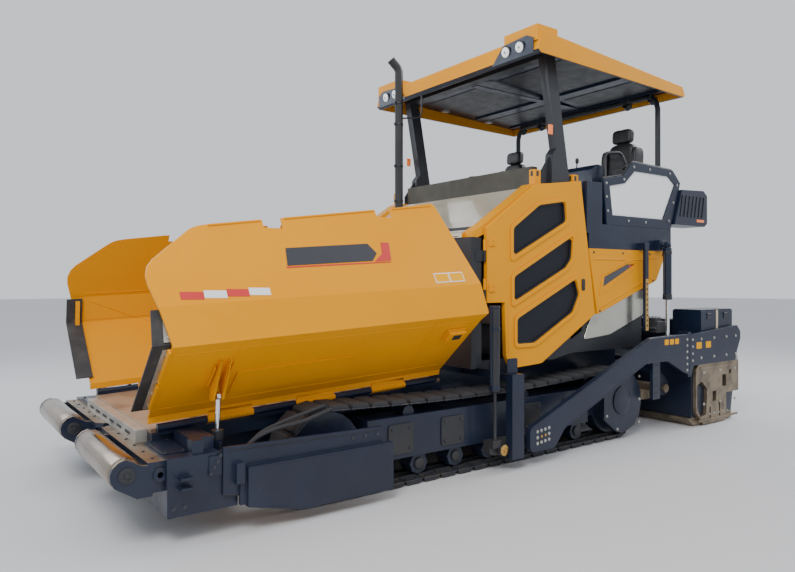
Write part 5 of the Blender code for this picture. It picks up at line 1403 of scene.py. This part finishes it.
class Console(Assembly):
    """Screen, keys, knobs and stick of one operating console, and the grab rail beside it."""

    LOW, FACE = 2.76, 5.150

    def build(self) -> None:
        """Fit out the console and add the rail."""
        low, face = self.LOW, self.FACE
        panel = Solid().box((0.68, 1.06), (5.142, face), (low, low + 0.19))
        screen = Solid().box((0.72, 0.88), (face, 5.154), (low + 0.06, low + 0.17))
        keys, knobs = Solid(), Solid()
        for z in row(low + 0.03, 0.045, 3):
            for x in row(0.905, 0.036, 4):
                keys.box((x, x + 0.025), (face, 5.158), (z, z + 0.025))
        for x in (0.73, 0.79, 0.85):
            knobs.lathe([(0, 0.014), (0.7, 0.014), (1, 0.010)], (x, face, low + 0.03),
                        (x, 5.172, low + 0.03), 14)
        stick = Solid().pipe([(0.76, 5.02, 2.96), (0.76, 5.03, 3.04)], 0.007, 8)
        stick.lathe([(0, 0.012), (0.4, 0.022), (1, 0.016)], (0.76, 5.03, 3.03), (0.76, 5.03, 3.09), 16)
        # The keys wear the glowing lamp-lens finish. Their glow is painted light, as the keys are no lamps.
        for solid, name, finish, bevel in ((panel, "panel", BLACK_MOULDING_AND_PAINTED_SHADE, 0.003), (screen, "screen", DECAL, 0.001),
                                           (keys, "keys", LENS, 0.002), (knobs, "knobs", RED, 0.0),
                                           (stick, "stick", BLACK_MOULDING_AND_PAINTED_SHADE, 0.0)):
            self.put(solid, f"console_{name}", finish, bevel=bevel)
        rail = Solid().pipe([(1.19, 5.02, 2.30), (1.17, 5.00, 2.80), (1.12, 5.05, 3.10), (1.12, 5.34, 3.14),
                             (1.17, 5.40, 2.95), (1.19, 5.42, 2.30)], 0.016, 12, 0.07, 6)
        self.put(rail, "grab_rail", GREY)


class RearBox(Assembly):
    """Slanted blades, amber lens and rear slots of the box behind the deck."""

    SIDE_X, REAR = 1.2805, 6.8605

    def build(self) -> None:
        """Add the blades, the lens and the slots."""
        blades, back = Solid(), Solid()
        for y in row(6.26, 0.078, 7):
            blades.prism([(y, 2.46), (y + 0.022, 2.46), (y + 0.075, 2.72), (y + 0.053, 2.72)], "X",
                         self.SIDE_X, 1.290)
        self.put(blades, "rear_box_blades", GREY, bevel=0.002)
        lamp = Solid().box((self.SIDE_X, 1.284), (6.62, 6.78), (2.41, 2.44))
        self.put(lamp, "rear_box_lamp", AMBER)
        # The rear slots are dark strips: painted shade where the slots are.
        for z in row(2.44, 0.055, 5):
            back.box((1.02, 1.24), (self.REAR, 6.868), (z, z + 0.025))
        self.put(back, "rear_box_slots", BLACK_MOULDING_AND_PAINTED_SHADE, bevel=0.001)


class Screen(Assembly):
    """Weather screen with its bolted frame, pane and hood."""

    BOLTS = ((4.935, 2.45), (4.915, 2.60), (4.91, 2.745), (5.22, 2.81), (5.40, 2.965), (5.70, 2.962),
             (6.10, 2.955), (6.25, 2.83), (6.17, 2.62), (6.08, 2.40), (5.30, 2.36), (5.62, 2.36))
    SEAL = ((4.865, 2.797), (5.20, 2.857), (5.385, 3.026), (6.15, 3.006))

    def build(self) -> None:
        """Dress frame and pane and add bolts and the top seal."""
        self.shell.over(self.node("screen_frame"), NAVY, 0.005)
        self.shell.over(self.node("screen_pane"), FROSTED, 0.001)
        bolts = Solid().bolts([(1.2502, *place) for place in self.BOLTS], 0.010, 0.006)
        self.put(bolts, "screen_bolts", ZINC)
        seal = Solid().pipe([(1.23, *place) for place in self.SEAL], 0.012, 8)
        self.put(seal, "screen_top_seal", BLACK_MOULDING_AND_PAINTED_SHADE)


class Seat(Assembly):
    """Operator's seat with cushion, bolsters, back, headrest and arms."""

    MIDDLE, FILL = 0.88, 0.85
    FLUTES, BACK_FLUTES = (-0.45, 0.0, 0.45), (-0.4, 0.0, 0.4)

    def pad(self, name: str, middle: Point, half: Point, lean: float = 0.0,
            channels: Sequence[tuple[int, float]] = (), replaces: Sequence[str] = ()) -> None:
        """One stuffed piece of the seat.

        Args:
            name: Name of the piece, without its side.
            middle: Its middle, with X from the seat's own middle.
            half: Half its width, depth and height.
            lean: How far its top leans back.
            channels: Its sewn channels.
            replaces: The CAD node it stands for.
        """
        shape = Solid().cushion((self.MIDDLE + middle[0], *middle[1:]), half, lean, channels)
        self.put(shape, name, LEATHER, smooth=70, replaces=replaces)

    def build(self) -> None:
        """Make the upholstered pieces in place of the CAD seat."""
        self.pad("seat_cushion", (0, 5.47, 2.748), (0.19, 0.25, 0.077),
                 channels=[(1, at) for at in self.FLUTES], replaces=(self.node("seat"),))
        self.pad("seat_back", (0, 5.71, 3.05), (0.176, 0.076, 0.262), 0.020,
                 [(2, at) for at in self.BACK_FLUTES])
        self.pad("seat_head", (0, 5.718, 3.398), (0.128, 0.055, 0.084), 0.006, ((0, 0.0),))
        for sign, label in ((-1, "inner"), (1, "outer")):
            self.pad(f"seat_bolster_{label}", (sign * 0.222, 5.47, 2.757), (0.036, 0.245, 0.088))
            self.pad(f"seat_back_wing_{label}", (sign * 0.204, 5.69, 3.03), (0.036, 0.092, 0.215), 0.018)
            self.pad(f"seat_arm_{label}", (sign * 0.283, 5.49, 2.962), (0.025, 0.17, 0.027))
        middle, posts = self.MIDDLE, Solid()
        for x in (middle - 0.06, middle + 0.06):
            posts.rod((x, 5.71, 3.27), (x, 5.71, 3.33), 0.007, 10)
        posts.box((middle - 0.2, middle + 0.2), (5.28, 5.68), (2.6605, 2.672))
        self.put(posts, "seat_frame", BLACK_MOULDING_AND_PAINTED_SHADE)
        belt = Solid().pipe([(middle + 0.215, 5.62, 2.850), (middle + 0.10, 5.56, 2.830),
                             (middle - 0.10, 5.56, 2.830), (middle - 0.215, 5.62, 2.850)], 0.008, 6, 0.05)
        self.put(belt, "seat_belt", RED)


class Canopy(Assembly):
    """Roof with its frame, hoop and lining."""

    FRONT, REAR = (3.78, 4.04), (6.16, 3.93)     # (y, z) of the underside at each end
    EDGE_X = 1.33            # within this the underside is lined

    @staticmethod
    def lining(y: float) -> float:
        """Height of the roof's underside."""
        (y0, z0), (y1, z1) = Canopy.FRONT, Canopy.REAR
        return z0 + (y - y0) / (y1 - y0) * (z1 - z0)

    def build(self) -> None:
        """Dress the roof in two paints and add its lining."""

        def pick(middle: Vector, normal: Vector) -> int:
            """Dark lining under the roof, paint outside."""
            return 1 if normal.z < -0.3 and abs(middle.x) < self.EDGE_X else 0

        self.shell.over("canopy_roof", YELLOW, 0.008, 26, NAVY, pick)
        self.shell.over("canopy_front_frame", GREY, 0.004)
        self.shell.over("canopy_rear_hoop", GREY, 0.0, 40)
        ribs, panels = Solid(), Solid()
        for y, width in ((4.26, 0.06), (5.30, 0.14), (5.98, 0.06)):
            z = self.lining(y)
            ribs.box((-1.25, 1.25), (y, y + width), (z - 0.024, z + 0.004))
        rear = self.lining(6.02)
        ribs.box((-0.05, 0.05), (4.15, 6.02), (rear - 0.004, rear + 0.006))
        for x in ((0.16, 1.14), (-1.14, -0.16)):
            for low, high in ((4.40, 5.22), (5.52, 5.92)):
                near, far = self.lining(low), self.lining(high)
                panels.prism([(low, near - 0.006), (high, far - 0.006), (high, far + 0.004),
                              (low, near + 0.004)], "X", *x)
        panels.place("roof_lining_panels", GREY, bevel=0.003)
        ribs.place("roof_lining_ribs", NAVY, bevel=0.003)


class RoofLamps(Assembly):
    """Work lamps, marker lamp, panel joints and catches of one side of the roof."""

    FRONT_X, REAR_X = (0.95, 1.14), (0.70, 1.05)

    def build(self) -> None:
        """Twin work lamps in the front recess, rear lamps, marker lamp and the side's seams."""
        recess = Solid().prism([(0.74, 3.884), (1.31, 3.884), (1.31, 4.03), (1.22, 4.075), (0.90, 4.055)],
                               "Y", 3.7125, 3.7195)
        housing, lens, bulbs, rear, glass = Solid(), Solid(), Solid(), Solid(), Solid()
        for x in self.FRONT_X:
            housing.lathe([(0, 0.060), (0.3, 0.062), (1, 0.062)], (x, 3.712, 3.980), (x, 3.702, 3.978), 32)
            lens.lathe([(0, 0.050), (0.6, 0.050), (1, 0.034)], (x, 3.7015, 3.978), (x, 3.692, 3.976), 32)
            bulbs.lathe([(0, 0.016), (1, 0.014)], (x, 3.6915, 3.976), (x, 3.689, 3.975), 20)
        for x in self.REAR_X:
            rear.lathe([(0, 0.045), (0.7, 0.05), (1, 0.05)], (x, 6.02, 3.865), (x, 6.085, 3.84), 24)
            rear.box((x - 0.012, x + 0.012), (6.0, 6.04), (3.87, 3.935))
            glass.lathe([(0, 0.043), (1, 0.03)], (x, 6.0855, 3.8398), (x, 6.095, 3.836), 24)
        marker = Solid().box((1.182, 1.197), (4.065, 4.125), (3.17, 3.27))
        seams, catches = Solid(), Solid()
        for y in (4.35, 5.95):
            z = Canopy.lining(y) + 0.016
            seams.box((1.10, 1.34), (y, y + 0.006), (z, z + 0.038))
        for y in (4.7, 5.5):
            z = Canopy.lining(y)
            catches.box((1.20, 1.27), (y, y + 0.09), (z - 0.03, z + 0.002))
        for solid, name, finish, bevel in (
                (recess, "front_lamp_recess", NAVY, 0.002), (housing, "front_lamp_housings", BLACK_MOULDING_AND_PAINTED_SHADE, 0.003),
                (lens, "front_lamp_lenses", LENS, 0.002), (bulbs, "front_lamp_bulbs", CHROME, 0.0),
                (rear, "rear_lamps", BLACK_MOULDING_AND_PAINTED_SHADE, 0.003), (glass, "rear_lamp_lenses", LENS, 0.0),
                (marker, "marker_lamp", AMBER, 0.006), (seams, "roof_seams", BLACK_MOULDING_AND_PAINTED_SHADE, 0.0),
                (catches, "roof_catches", ZINC, 0.003)):
            self.put(solid, name, finish, bevel=bevel)


class Exhaust(Assembly):
    """Exhaust stack with clamps and its mitred tip."""

    X, Y, CLAMP = -0.50, 3.44, 0.0505

    def build(self) -> None:
        """Dress the stack and add its clamps."""
        self.shell.over("exhaust_stack", BLACK_MOULDING_AND_PAINTED_SHADE, 0.0, 40)
        clamps = Solid()
        for z in (2.60, 3.00, 3.48, 3.72):
            clamps.rod((self.X, self.Y, z), (self.X, self.Y, z + 0.022), self.CLAMP, 28)
            clamps.box((self.X - 0.01, self.X + 0.01), (3.375, 3.392), (z - 0.004, z + 0.026))
        clamps.place("exhaust_clamps", GREY, bevel=0.001)


class Hopper(Assembly):
    """Receiving hopper: floor, apron bar and conveyor flights."""

    def build(self) -> None:
        """Dress the floor and the apron bar, and lay the flights."""
        self.shell.over("hopper_floor", TAN, 0.003)
        self.shell.over("apron_bar", ZINC, 0.004)
        slots, flights = Solid(), Solid()
        # The bar's slots are dark plates: painted shade where the slots are.
        for x in row(-0.66, 0.235, 6):
            slots.prism(Shape.plate((x, x + 0.13), (0.592, 0.612), 0.008), "Y", 0.1965, 0.1999)
        slots.place("apron_bar_slots", BLACK_MOULDING_AND_PAINTED_SHADE)
        for x in ((0.14, 0.70), (-0.70, -0.14)):
            for y in row(0.62, 0.19, 12):
                z = Shape.floor_z(y)
                flights.prism([(y, z + 0.0005), (y + 0.05, z + 0.003), (y + 0.045, z + 0.016),
                               (y + 0.006, z + 0.014)], "X", *x)
        flights.place("conveyor_flights", WORN, bevel=0.002)


class Bumper(Assembly):
    """Bumper beam, dressed in paint and scoured steel."""

    def build(self) -> None:
        """Dress the bumper by where its faces look."""

        def pick(middle: Vector, normal: Vector) -> int:
            """Scoured steel on the upper faces, paint elsewhere."""
            ahead = middle.y - Datum.y() < 0.25 or abs(middle.x) < 0.87
            return 1 if normal.z > 0.6 and middle.z > 0.51 and ahead else 0

        self.shell.over("front_bumper", NAVY, 0.005, 30, WORN, pick)


class Studio:
    """Pale floor, soft lights and the camera."""

    LENS, SENSOR, CLIP = 30.47, 36.0, 200.0
    PLACE, FACING = (5.754, -4.6625, 1.720), (-0.804, 0.594, 0.0)
    SHIFT = (-0.0094, -0.009)
    AIM = (0, 0, 1.2)
    FLOOR_RADIUS, FLOOR_Z = 60.0, -0.004
    PAPER = Finish("studio_paper", (0.62, 0.62, 0.63), (0.60, 0.60, 0.61), 0.9)
    SKY, SKY_STRENGTH = (0.90, 0.94, 1.0, 1.0), 0.95
    LIGHTS = (
        ("key", (6.5, -7.0, 8.5), 4.5, 720.0, (1.0, 0.985, 0.96)),
        ("fill", (-7.0, -6.0, 6.0), 6.0, 260.0, (0.86, 0.92, 1.0)),
        ("back", (2.0, 8.5, 7.5), 5.0, 420.0, (0.95, 0.97, 1.0)),
    )

    def build(self) -> None:
        """Set the stage."""
        self.floor()
        self.world()
        for light in self.LIGHTS:
            self.light(*light)
        self.camera()

    def add(self, name: str, data: bpy.types.ID, place: Point,
            facing: Vector | None = None) -> bpy.types.Object:
        """Put an object in the scene, its own -Z along a direction if one is given."""
        holder = bpy.data.objects.new(name, data)
        holder.location = place
        if facing:
            holder.rotation_euler = facing.to_track_quat("-Z", "Y").to_euler()
        bpy.context.scene.collection.objects.link(holder)
        return holder

    def floor(self) -> None:
        """One plain pale floor."""
        mesh = bpy.data.meshes.new("studio_floor")
        bm = bmesh.new()
        bmesh.ops.create_circle(bm, cap_ends=True, segments=96, radius=self.FLOOR_RADIUS)
        bm.to_mesh(mesh)
        bm.free()
        mesh.materials.append(self.PAPER.material())
        self.add("studio_floor", mesh, (0, 0, self.FLOOR_Z))

    def world(self) -> None:
        """Even pale surroundings."""
        world = bpy.data.worlds.new("studio")
        world.use_nodes = True
        back = world.node_tree.nodes["Background"]
        back.inputs["Color"].default_value = self.SKY
        back.inputs["Strength"].default_value = self.SKY_STRENGTH
        bpy.context.scene.world = world

    def light(self, name: str, place: Point, size: float, power: float, colour: Colour) -> None:
        """A large soft lamp aimed at the machine.

        Args:
            name: Name of the lamp.
            place: Where it hangs.
            size: Its width.
            power: Its power in watts.
            colour: Its colour.
        """
        lamp = bpy.data.lights.new(name, "AREA")
        lamp.shape = "DISK"
        lamp.size, lamp.energy, lamp.color = size, power, colour
        self.add(name, lamp, place, Vector(self.AIM) - Vector(place))

    def camera(self) -> None:
        """The camera, level and off the front left corner."""
        data = bpy.data.cameras.new("camera")
        data.lens, data.sensor_width, data.clip_end = self.LENS, self.SENSOR, self.CLIP
        data.shift_x, data.shift_y = self.SHIFT
        bpy.context.scene.camera = self.add("camera", data, self.PLACE, Vector(self.FACING))


def main() -> None:
    """Build every sub-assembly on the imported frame."""
    logging.basicConfig(level=logging.INFO, format="%(name)s %(message)s")
    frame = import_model()
    shell = Shell(frame)
    for part in (Bumper, Hopper, Screed, Hood, Platform, Canopy, Exhaust):
        part(shell).build()
    for side in Side:
        for part in (FrontEnd, SideGuard, Wing, Track, TrackFrame, TowGear, LiftCylinder, Auger,
                     ScreedSide, Door, RearPanel, Cheek, Console, RearBox, Screen, Seat, RoofLamps):
            part(shell, side).build()
    Studio().build()


if __name__ == "__main__":
    main()
